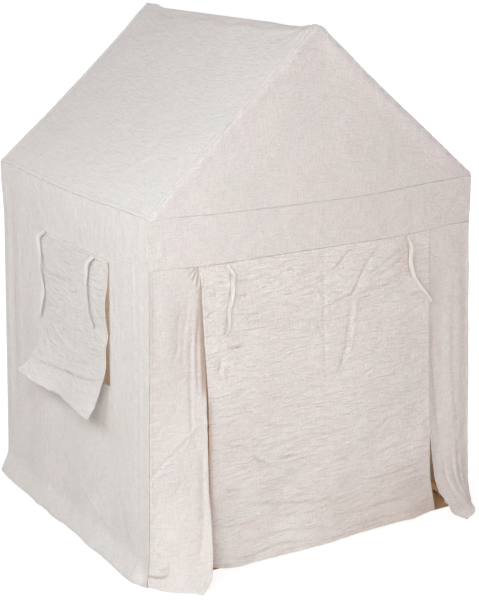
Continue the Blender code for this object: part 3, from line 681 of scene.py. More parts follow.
def make_wall_right():
    p, front, back, head = side_wall(1, 0.010)
    y, z = p.a, p.b
    plain_wall(p, 71, least(front, back, head))
    p.folds(((-300, 300), (-50, 190), (250, 130), 1.8, 11), lean=0.4)
    p.folds(((300, 550), (340, 300), (330, 80), -2, 12))
    p.height += band(front, 1.2, 11.2, 1) + band(back, 1.2, 11.2, 1)
    p.height += pucker(z, front, 75, 0.6, 18, 12) + pucker(y, head, 76, 0.5, 15, 12)
    p.sew(front, (-1, 1, 0))
    p.sew(back, (-1, -1, 0))
    p.sew(head, inward(1) - ROOF_OUT[1])
    p.build("wall_right", "hung", ["eave_rail_right"], material=WALLS)


def make_wall_back():
    across = spaced(-HALF_WIDTH, HALF_WIDTH, 0.010)
    wall_top = WINDOW_HEIGHTS[1]

    def shape(u, v):
        z = stretch(v, wall_top, gable_seam(u))
        t = (u + HALF_WIDTH) / (2 * HALF_WIDTH)
        fade = np.sin(np.pi * t) ** 0.5 * ease(1 - z / EAVE_HEIGHT)
        fold = 0.005 * fade * np.sin(2 * np.pi * (4 * t + 0.6))
        left, right = back_corner(-1, z)[0], back_corner(1, z)[0]
        return mix(-left, right, t), back_corner(1, z)[1] + fold, z

    p = Panel(across, wall_rows(0.010, wall_top), shape, (0, 1, 0), (0, 2))
    x, z = p.a, p.b
    left, right = x + back_corner(-1, z)[0], back_corner(1, z)[0] - x
    head = gable_seam(p.u) - z
    plain_wall(p, 81, least(left, right, head))
    p.folds(((320, 260), (50, 160), (-220, 120), 1.8, 11), lean=0.4)
    p.folds(((-310, 600), (-340, 350), (-330, 100), -2, 12))
    p.height += pucker(x, head, 85, 0.5, 14, 12)
    p.sew(left, (1, -1, 0))
    p.sew(right, (-1, -1, 0))
    p.sew(head, IN_BACK)
    p.build("wall_back", "hung", ["eave_rail_back"], material=WALLS)


# Free edges of the jamb curtains, in millimetres: height, x, and distance in front of the middle
JAMB_EDGES = {
    -1: ((0.8, -430, 587), (12, -411, 579), (30, -393, 568), (50, -385, 560), (100, -375.5, 545),
         (150, -368.5, 530), (250, -360, 503), (350, -356.5, 495), (440, -354.5, 490), (490, -352, 484),
         (550, -345.5, 473), (620, -342, 468.5), (700, -343, 469), (775, -350, 473), (840, -362.5, 477)),
    1: ((0.8, 441.5, 581.5), (10.5, 418, 566), (44, 399, 545), (67.5, 391.5, 523), (99, 384.5, 508),
        (148, 384.5, 493), (191.5, 384.5, 483), (235, 382, 478.5), (270, 379.5, 475),
        (330, 376.5, 474.5), (500, 372, 474.5), (710, 368, 473.2), (840, 366.5, 474)),
}


def make_jamb(side, name, seed):
    cut = 0.165
    fine = 0.0025 if side < 0 else 0.0045
    across = edged(BY_JAMB_HEM, cut, inner(spaced(0, 1, fine / cut), 0.11))
    rows = spaced(0.0008, 0.72, 1.2 * fine, edges=(True, False))
    head_rows = np.linspace(0, 0.9, round(0.11 / fine))[1:], (1 - BY_JAMB_HEAD / 1000 / 0.12)[::-1]
    rows = np.concatenate([rows, rows[-1] + np.concatenate(head_rows)])
    edges = JAMB_EDGES[side]

    def shape(s, v):
        seam_x = side * mix(HALF_WIDTH, abs(edges[-1][1]) / 1000, s)
        z = stretch(v, 0.72, valance_seam(seam_x))
        corner_x, corner_y = front_corner(side, z)
        free_x = np.abs(curve(z, *((h, x) for h, x, _ in edges)))
        free_y = curve(z, *((h, y) for h, _, y in edges))
        x, y = mix(corner_x, free_x, s), mix(corner_y, free_y, s)
        bow = 0.010 * np.sin(np.pi * s) * hem_share(z) + 0.006 * np.sin(np.pi * s) ** 2 * ease(1 - z / 0.4)
        return side * (x + 0.6 * bow), -(y + bow), z

    p = Panel(across, rows, shape, (0, -1, 0), (lambda s, v: s * cut, 2))
    s, z = p.u, p.b
    seam, free_edge = s * cut, (1 - s) * cut
    head = valance_seam(side * mix(HALF_WIDTH, 0.365, s)) - z
    loose = ease(seam / 0.03) * ease(head / 0.04)
    if side < 0:
        gathered = peak(z - 0.70, 0.11)
        p.height += loose * gathered * (0.0022 * np.sin(2 * np.pi * (1.55 * s - 0.28)) - 0.001)
        # Folds beside the door's edge, with painted shade laid into their valleys
        p.folds(((147.5, 745), (144, 700), (140.5, 660), (139, 610), (140, 560), (142, 500), -4.2, 4.2),
                tan=0.6)
        p.folds(((130, 735), (126, 690), (123, 640), (121, 580), (120, 500), (120, 440), -2.6, 4.8),
                lean=0.3, tan=0.25)
        p.folds(((148, 655), (146, 610), (148, 565), (150, 520), (152, 460), 3, 3.6))
        p.folds(((166, 800), (160, 745), (156.5, 690), (157.5, 620), (162, 555), (166, 500), -1.2, 11),
                tan=1.0)
        p.folds(((98, 765), (92, 720), (84, 660), (83, 600), -1.4, 5.5),
                ((118, 760), (112, 710), (102, 660), (98, 540), -1.3, 5.2),
                ((128, 560), (122, 460), (118, 360), -1.8, 4.5), lean=0.4)
        # Gathers spreading down from the top of the door's edge, with deep painted shade in their valleys
        for turn, reach, lift in ((-86, 80, -4.4), (-77, 60, 3), (-69, 66, -4.4), (-60, 52, 3),
                                  (-51, 58, -4.2), (-42, 44, 2.6), (-33, 50, -3.6), (-23, 36, 1.8),
                                  (-12, 50, -2.6)):
            a, b = 168, 850
            da, db = -math.cos(math.radians(turn)) * reach, math.sin(math.radians(turn)) * reach
            line = (a, b), (a + da * 0.5, b + db * 0.62), (a + da * 0.9, b + db * 1.1)
            p.folds((*line, lift, 3), tint=200)
        p.folds(((160, 433), (90, 385), (30, 337), 1.6, 5), lean=0.5)
        # Folds near the floor, with painted shade in them
        p.folds(((150, 348), (147, 200), (128, 53), -4, 6.5), lean=0.5, tan=0.25)
        p.folds(((28, 52), (42, 58), (56, 70), 4, 8), lean=0.4, tan=0.35)
        p.folds(((-10, 34.5), (6, 30.5), (22, 29), (36, 31), (46, 36.5), (54, 44), -7.5, 3.6), tan=0.9)
        p.height -= 0.10 * np.clip(0.030 - z, 0, 0.03) * ease((0.06 - seam) / 0.03)
        for k in range(34):
            b = 700 - 9.8 * k - 2 * math.sin(5.1 * k)
            line = (4, b), (20, b + 2 * math.sin(2.3 * k)), (40 + 12 * math.sin(1.7 * k), b - 3)
            p.folds((*line, 1.1 * (-1) ** k, 3.6))
    else:
        tall = np.sin(np.pi * np.clip(z / 0.84, 0, 1))
        p.height += loose * 0.0035 * np.sin(2 * np.pi * (1.2 * s - 0.1)) * tall
        p.folds(((150, 600), (140, 400), (120, 220), -3, 9), ((60, 700), (65, 450), (50, 200), -2.2, 10))
        for a0, top, lift in ((0.030, 0.15, 0.0024), (0.045, 0.20, -0.0026), (0.060, 0.14, 0.0022),
                              (0.074, 0.19, -0.0024), (0.092, 0.13, 0.0018), (0.108, 0.17, -0.0022)):
            p.crease((a0 + 0.012, top), (a0 + 0.006, 0.5 * top), (a0, 0.03), lift=lift, width=0.0055)
        p.folds(((0, 60), (30, 52), (60, 62), 4, 8), lean=0.5)
    p.swell(loose, (1.2, (60, 200), seed), (1.0, (30, 50), seed + 1), (0.25, (14, 18), seed + 2))
    hem_edge = ease(1 - z / 0.025)
    if side < 0:
        # Painted shade along the free edge, where it turns back behind the door
        p.tan += 0.9 * peak(free_edge, 0.016) * ease((z - 0.47) / 0.06) * ease((0.82 - z) / 0.06)
        raised = through(s, ((0, 0.0), (0.12, 0.0012), (0.30, 0.0035), (0.50, 0.0072), (0.72, 0.0074),
                             (0.90, 0.0050), (0.97, 0.0008), (1, 0.0)))
        p.dive[..., 2] += raised * ease(1 - z / 0.06)
    p.dive[..., 1] += -0.0016 * hem_edge * p.noise((0.016, 0.5), seed + 7)
    p.dive[..., 2] += 0.0016 * hem_edge * np.maximum(0, p.noise((0.022, 0.5), seed + 8))
    p.crumple(seed + 3, 40, (20, 70), (3.6, 5.5), (0.5, 1.4), 50, 50)
    p.crumple(seed + 4, 110, (15, 50), (3.4, 4.8), (0.4, 1.2), 0, 22, (0, 150, 50, 840))
    p.height += band(free_edge, 0.4, 8.5, 0.9) + band(z, 0.4, 11.5, 1)
    p.height += band(seam, -4, 9.8, 1.1)
    p.height += pucker(z, seam, seed + 5, 0.9, 16, 9) + pucker(z, free_edge, seed + 6, 0.6, 10, 10)
    p.sew(seam, (-side, 1, 0), 2.4, 1.6)
    p.sew(head, IN_FRONT)
    p.build(name, "hung", ["valance_front_cover"])


def make_door():
    width = 0.735
    across = edged(BY_HEM, width, inner(spaced(0, 1, 0.0048 / width), 0.021))
    rows = spaced(0.006, DOOR_AXIS.z, 0.0034)

    def shape(u, v):
        left, right = door_edges(v)
        x = mix(left, right, u)
        hem = 0.0018 * noise(x, v, (0.05, 1.0), 90) + 0.0008 * noise(x, v, (0.014, 1.0), 89)
        hem = hem + 0.009 * ease(1 - (x - left) / 0.035)
        to_seam = (valance_seam(x) - 0.0003 - DOOR_AXIS.z) * ease((v - 0.75) / 0.087)
        z = v + hem * ease(1 - v / 0.03) + to_seam
        return x, -door_reach(x, v), z

    p = Panel(across, rows, shape, (0, -1, 0), (0, 2))
    x, z = p.a, p.b
    left, right = door_edges(z)
    head, foot = DOOR_AXIS.z - p.v, p.v - 0.006
    from_left, from_right = x - left, right - x
    loose = ease(head / 0.04)
    low = ease(1 - z / 0.55)
    p.swell(loose, (1.4, (240, 130), 91), (1.2 + 1.8 * low, (85, 34), 92),
            (0.5 + 0.5 * low, (30, 12), 93), (0.18, (12, 9), 94))
    # The door's creases, with more painted shade in their valleys than elsewhere
    p.folds(((48, 772), (74, 795), (93, 814), (130, 822), -3.2, 3.84),
            ((21, 671), (53, 684), (107, 699), (139, 749), (177, 799), (205, 818), -3, 4),
            ((108, 695), (99, 602), (75, 505), (52, 464), -3, 4.64),
            ((126, 700), (118, 600), (96, 500), 2, 4.8), ((112, 693), (212, 706), (270, 712), -2.6, 3.68),
            ((160, 742), (220, 772), (276, 800), -2.4, 4), ((200, 735), (250, 757), (283, 785), -2, 3.68),
            ((-4, 644), (12, 598), -3, 4.16), ((302, 664), (351, 669), -2.4, 3.36),
            ((265, 565), (287, 566), -2.8, 3.36), ((-305, 595), (-311, 561), (-303, 519), -2.8, 3.84),
            ((-278, 566), (-288, 516), -2.6, 3.84), ((-274, 613), (-223, 605), -2.8, 3.2),
            ((18, 836), (18, 700), (18, 500), -1.6, 4.4), ((-331, 201), (-259, 197), -2, 3.84),
            ((-237, 169), (-93, 137), (62, 119), -2.6, 4.4), ((161, 148), (248, 151), (362, 162), -2.6, 4),
            ((172, 135), (274, 137), (368, 134), -2, 4),
            ((47, 70), (147, 64), (223, 72), (348, 66), -2.6, 4.4),
            ((-197, 72), (-55, 59), (62, 40), -2.2, 4),
            ((-325, 41), (-216, 26), (-178, 34), (-26, 24), -3, 3.84),
            ((-279, 71), (-215, 64), (-131, 69), -1.8, 4), ((-328, 117), (-260, 113), (-201, 112), -2, 4),
            ((72, 33), (223, 28), (380, 31), -2, 4), ((-217, 304), (-180, 275), (-139, 252), -3.6, 3.36),
            ((-134, 272), (-101, 271), (-61, 269), -3.2, 3.2),
            ((-310, 357), (-257, 333), (-212, 320), -2.8, 3.84), ((-211, 350), (-170, 327), -2.4, 3.36),
            ((-333, 300), (-284, 302), -2.4, 3.36), ((-304, 223), (-254, 211), -2.8, 3.36),
            ((-258, 280), (-222, 259), -2, 3.36),
            ((-25, 327), (23, 314), (71, 315), (101, 316), -2.2, 3.84),
            ((32, 225), (86, 230), (131, 260), -2.2, 4), ((-211, 398), (-142, 369), (-63, 355), -2.4, 4),
            ((180, 291), (256, 328), -1.8, 4), ((257, 202), (367, 206), -2, 3.84),
            ((-352, 700), (-325, 714), (-301, 719), -2.4, 3.2), ((-254, 747), (-215, 746), -3.6, 2.88),
            ((-260, 789), (-171, 781), -2.2, 3.36), ((-228, 688), (-197, 691), (-159, 693), -2.6, 3.36),
            ((-275, 610), (-232, 608), -3.2, 3.04), ((-310, 553), (-303, 585), -3.2, 3.2),
            ((-311, 795), (-275, 783), -3.2, 3.04), ((-137, 707), (-77, 694), (-25, 683), -1.8, 3.84),
            ((22, 830), (22, 500), (20, 120), -1.2, 3.2),
            lean=0.4, tint=130)
    p.crumple(95, 150, (30, 110), (3.2, 5), (0.4, 1.3), 1, 10, (-340, 370, 10, 500))
    p.crumple(96, 70, (30, 110), (3.4, 5.2), (0.3, 1), 4, 14, (-340, 370, 450, 830))
    p.crumple(97, 26, (50, 140), (4.5, 6.5), (0.4, 0.9), 90, 12)
    p.crumple(98, 90, (14, 35), (3, 4.2), (0.5, 1.3), 12, 14, (-350, -270, 20, 800))
    p.crumple(99, 60, (20, 50), (3, 4.2), (0.5, 1.2), 8, 12, (290, 380, 100, 720))
    # Painted shade: a strip where the left jamb shades the door, a patch under the right tie, a darkening
    # towards the bottom right, and the crease above the hem
    p.tan += 0.80 * peak(from_left, 0.012) * ease((0.52 - z) / 0.08)
    p.tan += 0.32 * np.exp(-((x - 0.285) / 0.035) ** 2 - ((z - 0.765) / 0.05) ** 2)
    p.tan += 0.30 * ease((0.20 - z) / 0.16) * ease((x + 0.10) / 0.40)
    p.folds(((-360, 18.5), (-100, 16.5), (150, 17.5), (400, 18.5), -1.6, 2.8), tan=0.3)
    p.height += band(from_left, 0.4, 8, 0.8) + band(from_right, 0.4, 8, 0.8)
    p.height += band(foot, 0.4, 14, 1)
    p.height += pucker(x, head, 99, 0.6, 12, 9) + pucker(z, from_left, 100, 0.6, 12, 8)
    p.height *= 1 - 0.75 * ease(1 - from_right / 0.03)
    p.height *= ease(head / 0.006)
    p.sew(head, IN_FRONT, 1)
    hinge = (MIDDLE.x, MIDDLE.y + DOOR_AXIS.y, DOOR_AXIS.z - 0.0005)
    p.build("door_flap", "hung", ["valance_front_cover"], "door", hinge=hinge, material=LIGHTENED_DOOR_CLOTH)


def make_window_flap():
    across = edged(BY_HEM, FLAP_WIDTH, inner(spaced(0, 1, 0.0036 / FLAP_WIDTH), 0.035))
    down = edged(BY_HEM, FLAP_WIDTH, spaced(0, 1, 0.0036 / FLAP_LENGTH, edges=(False, False))[5:-5])

    p = Panel(across, down, flap_point, (-1, 0, 0), (1, lambda s, t: FLAP_TOP - t * FLAP_LENGTH))
    y, b = p.a, p.b
    head, foot = p.v * FLAP_LENGTH, (1 - p.v) * FLAP_LENGTH
    front, back = p.u * FLAP_WIDTH, (1 - p.u) * FLAP_WIDTH
    loose = ease(head / 0.04)
    wave = curve(b, (390, 0), (430, -3), (490, 4.5), (551, 0), (590, 2), (621, -4.4), (655, 1.5),
                 (716, 7.5), (767, 0), (825, 0))
    p.height += wave * peak(front, 0.035)
    p.swell(loose, (1.4, (110, 100), 111), (0.6, (45, 35), 112), (0.25, (14, 14), 113))
    fold = curve(y, (-246, 503), (-215, 495), (-140, 475), (-46, 460), (70, 454), (200, 445))
    p.height += 0.14 * np.clip(fold - b, 0, 0.06)
    p.height += 0.0022 * peak(head - 0.0045, 0.0025)
    ragged = 0.0022 * p.noise((0.022, 0.5), 117) + 0.0012 * p.noise((0.009, 0.5), 118)
    p.dive[..., 2] += ragged * ease(1 - foot / 0.02)
    p.dive[..., 1] += 0.0016 * p.noise((0.5, 0.02), 119) * (ease(1 - front / 0.015) + ease(1 - back / 0.015))
    # Folds with painted shade in their valleys
    p.folds(((230, 443), (70, 454), (-46, 461), (-140, 476), (-262, 509), -3.6, 3.6), tan=0.5)
    p.folds(((177, 714), (135, 709), (88, 708), (30, 716), (-29, 730), -5.8, 3.6), lean=0.5, tan=0.3)
    p.folds(((50, 762), (10, 763), (-19, 767), -4.5, 3.4), lean=0.4, tan=0.3)
    p.folds(((130, 600), (60, 578), (0, 560), -1.6, 4.5), ((100, 560), (0, 530), (-100, 520), 1.8, 5),
            ((0, 500), (-80, 505), (-160, 530), -2, 4.5), lean=0.4)
    for k in range(9):
        b = 745 - 21 * k
        p.folds(((-150, b), (-185, b - 4), (-225, b + 6), 1.4 * (-1) ** k, 4.2))
    for k in range(7):
        b = 560 - 17 * k
        p.folds(((178, b), (155, b - 6), (135, b - 16), 1.6 * (-1) ** k, 4.2))
    p.folds(((-55, 727), (-45, 590), (-29, 453), -1.6, 6), ((60, 800), (20, 700), (10, 580), 1, 6))
    p.crumple(114, 110, (20, 70), (3.4, 4.8), (0.3, 1), 8, 22)
    p.crumple(115, 40, (50, 120), (4, 5.5), (0.3, 0.9), 87, 8)
    p.height += band(front, 0.4, 8, 0.8) + band(back, 0.4, 8, 0.8)
    p.height += band(foot, 0.4, 11, 0.8) + pucker(y, head, 116, 0.6, 12, 9)
    p.height *= ease(head / 0.006)
    hinge = (MIDDLE.x - side_base(FLAP_TOP) - 0.0009, MIDDLE.y, FLAP_TOP - 0.0005)
    p.build("window_flap", "hung", ["wall_left_cover"], "window", hinge=hinge, material=CRUMPLED)


# Camera and light

def make_camera():
    """The photograph's own viewpoint, from a perspective fit."""
    turn, rise, roll = -0.53299, 0.22878, -0.013882
    place = Vector((-2.13945, -3.69378, 1.79083)) + MIDDLE
    back = Vector((math.sin(turn) * math.cos(rise), -math.cos(turn) * math.cos(rise), math.sin(rise)))
    right = Vector((math.cos(turn), math.sin(turn), 0))
    up = back.cross(right)
    local_x = right * math.cos(roll) + up * math.sin(roll)
    local_y = up * math.cos(roll) - right * math.sin(roll)
    data = bpy.data.cameras.new("camera")
    camera = placed("camera", data)
    camera.matrix_world = Matrix.Translation(place) @ Matrix((local_x, local_y, back)).transposed().to_4x4()
    data.sensor_width = 36
    data.lens = 1498.494 / 600 * data.sensor_width
    data.shift_y = -(300 - 230) / 600
    bpy.context.scene.camera = camera


def area_light(name, place, target, size, power, colour):
    data = bpy.data.lights.new(name, "AREA")
    data.shape = "DISK"
    data.size = size
    data.energy = power
    data.color = colour
    lamp = placed(name, data)
    lamp.location = Vector(place) + MIDDLE
    lamp.rotation_mode = "QUATERNION"
    lamp.rotation_quaternion = (Vector(place) - Vector(target)).to_track_quat("Z", "Y")


def make_light():
    bpy.context.scene.view_settings.view_transform = "Standard"
    world = bpy.data.worlds.new("studio")
    bpy.context.scene.world = world
    world.use_nodes = True
    nodes, links = world.node_tree.nodes, world.node_tree.links
    nodes.clear()
    out, mixed, rays = (nodes.new("ShaderNode" + kind) for kind in ("OutputWorld", "MixShader", "LightPath"))
    links.new(rays.outputs["Is Camera Ray"], mixed.inputs[0])
    for place, colour, strength in ((1, (1.0, 0.80, 0.82, 1), 0.30), (2, (1, 1, 1, 1), 1.0)):
        background = nodes.new("ShaderNodeBackground")
        background.inputs["Color"].default_value = colour
        background.inputs["Strength"].default_value = strength
        links.new(background.outputs[0], mixed.inputs[place])
    links.new(mixed.outputs[0], out.inputs["Surface"])
    area_light("near corner", (-1.9, -2.1, 2.0), (-0.45, -0.45, 0.7), 1.2, 32.5, (0.87, 0.97, 1.0))
    area_light("left", (-2.9, -0.9, 2.6), (-0.4, 0.0, 0.7), 1.6, 35, (1.0, 1.0, 0.935))
    area_light("front low", (-0.3, -3.4, 0.8), (0.0, -0.5, 0.5), 1.6, 23, (1.0, 0.93, 0.90))
    area_light("behind left", (-2.8, 1.7, 2.6), (-0.4, 0.2, 0.8), 1.6, 16, (0.75, 0.95, 1.0))
    area_light("right", (3.1, 0.6, 1.7), (0.5, 0.1, 0.7), 1.6, 32, (1.0, 0.95, 0.93))
    area_light("back", (0.3, 3.3, 1.7), (0.0, 0.5, 0.7), 1.6, 32, (1.0, 0.95, 0.93))
    glow = bpy.data.lights.new("through the cloth", "POINT")
    glow.energy = 4.5
    glow.shadow_soft_size = 0.25
    glow.color = (1.0, 0.80, 0.62)
    placed("through the cloth", glow).location = Vector((0, 0, 0.75)) + MIDDLE


def floor_piece(name, loops):
    """A flat piece of floor inside the first loop of points, less what the others enclose."""
    mesh = bpy.data.meshes.new(name)
    points = [point for loop in loops for point in loop]
    mesh.from_pydata(points, [], [tuple(face) for face in tessellate_polygon(loops)])
    placed(name, mesh)
    return mesh


def hem_line():
    """Where the cover meets the floor, a little inside its outer face."""
    t = np.linspace(0, 1, 41)
    ends = {-1: front_corner, 1: back_corner}
    corners = {(side, end): corner(side, 0.0) for side in (-1, 1) for end, corner in ends.items()}
    points = []
    for side in (-1, 1):
        order = t if side < 0 else t[::-1]
        y = mix(-corners[side, -1][1], corners[side, 1][1], order)
        out = [side_hem(side, v, s) + float(full(side, 0, s)) - 0.0008 for v, s in zip(y, order)]
        points += [(side * x, v) for x, v in zip(out, y)]
    return [Vector((MIDDLE.x + x, MIDDLE.y + float(y), 0)) for x, y in points]


def make_floor():
    """White floor that keeps a soft shadow round the tent. Under the tent it is plain."""
    s = Shader("white floor", 0.9)
    s.set("Base Color", (0.81, 0.79, 0.77, 1))
    s.set("Specular IOR Level", 0.1)
    place = s.node("NewGeometry").outputs["Position"]
    away = s.node("VectorMath", operation="LENGTH", inputs={0: place}).outputs["Value"]
    limits = {"Value": away, "From Min": 0.75, "From Max": 1.4, "To Min": 0.80}
    far = s.node("MapRange", inputs=limits).outputs[0]
    share = s.times(s.node("LightPath").outputs["Is Camera Ray"], far)
    glow = s.node("Emission", inputs={"Strength": 1.12}).outputs[0]
    mixed = s.node("MixShader", inputs={0: share, 1: s.principled.outputs[0], 2: glow}).outputs[0]
    s.tree.links.new(mixed, s.tree.nodes["Material Output"].inputs["Surface"])
    plain = Shader("floor under the tent", 0.9)
    plain.set("Base Color", (0.52, 0.35, 0.21, 1))
    under = hem_line()
    rim = [Vector((8 * x, 8 * y, 0)) for x, y in ((-1, -1), (1, -1), (1, 1), (-1, 1))]
    floor_piece("floor", [rim, under]).materials.append(s.material)
    floor_piece("floor_inside", [under]).materials.append(plain.material)


# Materials

class Shader:
    """Short names for building a node material."""

    def __init__(self, name, roughness):
        self.material = bpy.data.materials.new(name)
        self.material.use_nodes = True
        self.tree = self.material.node_tree
        self.principled = self.tree.nodes["Principled BSDF"]
        self.principled.inputs["Roughness"].default_value = roughness

    def node(self, kind, **settings):
        made = self.tree.nodes.new("ShaderNode" + kind)
        inputs = settings.pop("inputs", {})
        for key, value in settings.items():
            setattr(made, key, value)
        for key, value in inputs.items():
            if isinstance(value, bpy.types.NodeSocket):
                self.tree.links.new(value, made.inputs[key])
            else:
                made.inputs[key].default_value = value
        return made

    def math(self, operation, a, b=0.5, clamp=False):
        return self.node("Math", operation=operation, use_clamp=clamp, inputs={0: a, 1: b}).outputs[0]

    def times(self, a, b, clamp=False):
        return self.math("MULTIPLY", a, b, clamp)

    def noise(self, vector, scale, detail=2.0, roughness=0.5):
        inputs = {"Vector": vector, "Scale": scale, "Detail": detail, "Roughness": roughness}
        return self.node("TexNoise", inputs=inputs).outputs["Fac"]

    def scaled(self, vector, scale):
        return self.node("Mapping", inputs={"Vector": vector, "Scale": scale}).outputs[0]

    def ramp(self, value, *stops):
        made = self.node("ValToRGB", inputs={"Fac": value})
        elements = made.color_ramp.elements
        while len(elements) < len(stops):
            elements.new(0.5)
        for element, (place, colour) in zip(elements, stops):
            element.position = place
            element.color = (*colour, 1)
        return made.outputs["Color"]

    def blend(self, factor, a, b, mode="MIX"):
        made = self.node("Mix", data_type="RGBA", blend_type=mode, inputs={0: factor, 6: a, 7: b})
        return made.outputs[2]

    def bump(self, height, distance, strength=1.0, normal=None):
        inputs = {"Height": height, "Distance": distance, "Strength": strength}
        if normal is not None:
            inputs["Normal"] = normal
        return self.node("Bump", inputs=inputs).outputs[0]

    def link(self, socket, name):
        self.tree.links.new(socket, self.principled.inputs[name])

    def set(self, name, value):
        self.principled.inputs[name].default_value = value


def grey(value):
    return (value, value, value)


def make_cotton(name, colour, crinkle, lie):
    """Undyed plain-woven cotton: threads, slubs, seed flecks, faint mottling and washed crinkles, with
    painted shade.

    crinkle is how creased it is, and lie stretches the creases along the cloth's two directions.
    """
    s = Shader(name, 0.92)
    uv = s.node("TexCoord").outputs["UV"]
    threads = []
    for turn in (0, math.pi / 2):
        turned = s.node("Mapping", inputs={"Vector": uv, "Rotation": (0, 0, turn)}).outputs[0]
        inputs = {"Vector": turned, "Scale": 290, "Distortion": 1.6, "Detail": 2, "Detail Scale": 1.2}
        wave = s.node("TexWave", inputs=inputs)
        threads.append(wave.outputs["Fac"])
    weave = s.times(threads[0], threads[1])
    slub_u = s.noise(s.scaled(uv, (26, 420, 1)), 1.0, 2.0)
    slub_v = s.noise(s.scaled(uv, (420, 26, 1)), 1.0, 2.0)
    slubs = s.math("ADD", s.times(slub_u, 0.5), s.times(slub_v, 0.5))
    mottle = s.noise(uv, 7.0, 3.0)
    fine = s.noise(uv, 260.0, 3.0, 0.65)
    tone = s.math("ADD", s.times(slubs, 0.5), s.times(fine, 0.5))
    dark = tuple(c * 0.86 for c in colour)
    light = tuple(min(1, c * 1.08) for c in colour)
    body = s.ramp(tone, (0.38, dark), (0.5, colour), (0.62, light))
    body = s.blend(0.6, body, s.ramp(mottle, (0.3, (0.95, 0.955, 0.96)), (0.7, grey(1.0))), "MULTIPLY")
    hue = s.noise(uv, 11.0, 2.0)
    tints = s.ramp(hue, (0.38, (1.0, 0.985, 0.985)), (0.62, (0.985, 1.0, 0.985)))
    body = s.blend(1.0, body, tints, "MULTIPLY")
    # Painted shade: the panel's share of shade darkens the colour to a warm brown in folds, gaps and shadows
    shade_share = s.node("Attribute", attribute_name="tan").outputs["Fac"]
    body = s.blend(shade_share, body, (0.72, 0.60, 0.52, 1), "MULTIPLY")
    cells = s.node("TexVoronoi", inputs={"Vector": uv, "Scale": 42.0, "Randomness": 1.0})
    speck = s.math("LESS_THAN", cells.outputs["Distance"], 0.035)
    chosen = s.math("GREATER_THAN", s.noise(uv, 31.0, 0.0), 0.56)
    fleck = s.times(s.times(speck, chosen), 0.5)
    body = s.blend(fleck, body, (0.34, 0.24, 0.15, 1))
    s.link(body, "Base Color")
    washed = s.noise(uv, 110.0, 4.0, 0.6)
    stretched = s.scaled(uv, (*lie, 1))
    warp = s.node("TexNoise", inputs={"Vector": uv, "Scale": 9.0, "Detail": 1.0})
    terms = {0: warp.outputs["Color"], 1: (0.7, 0.7, 0), 2: stretched}
    shifted = s.node("VectorMath", operation="MULTIPLY_ADD", inputs=terms).outputs[0]
    ridges = s.noise(shifted, 1.0, 3.0, 0.5)
    ridges = s.math("ABSOLUTE", s.math("SUBTRACT", ridges, 0.5), 0)
    ridges = s.math("POWER", s.times(ridges, 5.0, clamp=True), 0.55)
    normal = s.bump(ridges, 0.0011 * crinkle, 0.8)
    normal = s.bump(washed, 0.0017 * crinkle, 0.9, normal)
    normal = s.bump(slubs, 0.0010, 0.8, normal)
    s.link(s.bump(weave, 0.0003, 0.6, normal), "Normal")
    s.set("Sheen Weight", 0.1)
    s.set("Sheen Roughness", 0.5)
    s.set("Specular IOR Level", 0.15)
    return s.material


def make_tape(name, colour):
    """Cotton tape, woven in a fine herringbone along its length."""
    s = Shader(name, 0.88)
    uv = s.node("TexCoord").outputs["UV"]
    split = s.node("SeparateXYZ", inputs={"Vector": uv})
    across = s.math("ABSOLUTE", split.outputs["X"])
    slant = s.math("ADD", s.times(across, 0.9), split.outputs["Y"])
    rows = s.math("SINE", s.times(slant, 2 * math.pi / 0.0016))
    grain = s.noise(uv, 300.0, 2.0)
    body = s.ramp(grain, (0.3, tuple(c * 0.95 for c in colour)), (0.7, colour))
    s.link(body, "Base Color")
    normal = s.bump(rows, 0.0003, 0.6)
    s.link(s.bump(grain, 0.0004, 0.4, normal), "Normal")
    s.set("Sheen Weight", 0.15)
    s.set("Specular IOR Level", 0.2)
    return s.material


def make_pine(name, direction):
    """Sanded pine dowel with its grain along `direction`."""
    s = Shader(name, 0.55)
    place = s.node("TexCoord").outputs["Object"]
    turn = Vector(direction).rotation_difference(Vector((0, 0, 1))).to_euler()
    along = s.node("Mapping", inputs={"Vector": place, "Rotation": tuple(turn)}).outputs[0]
    rings = s.noise(s.scaled(along, (150, 150, 4)), 1.0, 3.0, 0.6)
    fibre = s.noise(s.scaled(along, (900, 900, 22)), 1.0, 3.0, 0.6)
    body = s.ramp(rings, (0.3, (0.60, 0.39, 0.21)), (0.5, (0.74, 0.54, 0.34)), (0.7, (0.80, 0.62, 0.42)))
    body = s.blend(0.35, body, s.ramp(fibre, (0.3, grey(0.72)), (0.7, grey(1.0))), "MULTIPLY")
    s.link(body, "Base Color")
    s.link(s.ramp(fibre, (0.3, grey(0.62)), (0.7, grey(0.5))), "Roughness")
    s.link(s.bump(fibre, 0.0002, 0.5, s.bump(rings, 0.0003, 0.4)), "Normal")
    return s.material


def make_nylon():
    """Moulded white nylon, slightly uneven from the mould, its colour and gloss varying a little."""
    s = Shader("white nylon", 0.42)
    place = s.node("TexCoord").outputs["Object"]
    fine = s.noise(place, 900.0, 2.0)
    broad = s.noise(place, 35.0, 3.0)
    s.link(s.ramp(broad, (0.3, (0.79, 0.78, 0.745)), (0.7, (0.85, 0.84, 0.81))), "Base Color")
    s.link(s.ramp(broad, (0.35, grey(0.38)), (0.65, grey(0.50))), "Roughness")
    s.link(s.bump(fine, 0.00015, 0.4), "Normal")
    return s.material


COTTON = make_cotton("washed cotton canvas", (0.790, 0.762, 0.742), 1.3, (12, 36))
WALLS = make_cotton("wall cotton canvas", (0.790, 0.762, 0.742), 1.6, (46, 10))
CRUMPLED = make_cotton("crumpled cotton canvas", (0.790, 0.762, 0.742), 2.2, (18, 50))
# The same cotton, painted lighter on the door to make up for the shade of its heavier creases
LIGHTENED_DOOR_CLOTH = make_cotton("door cotton canvas", (0.873, 0.843, 0.820), 2.4, (9, 58))
TAPE = make_tape("cotton tape", (0.83, 0.795, 0.765))


# Ties

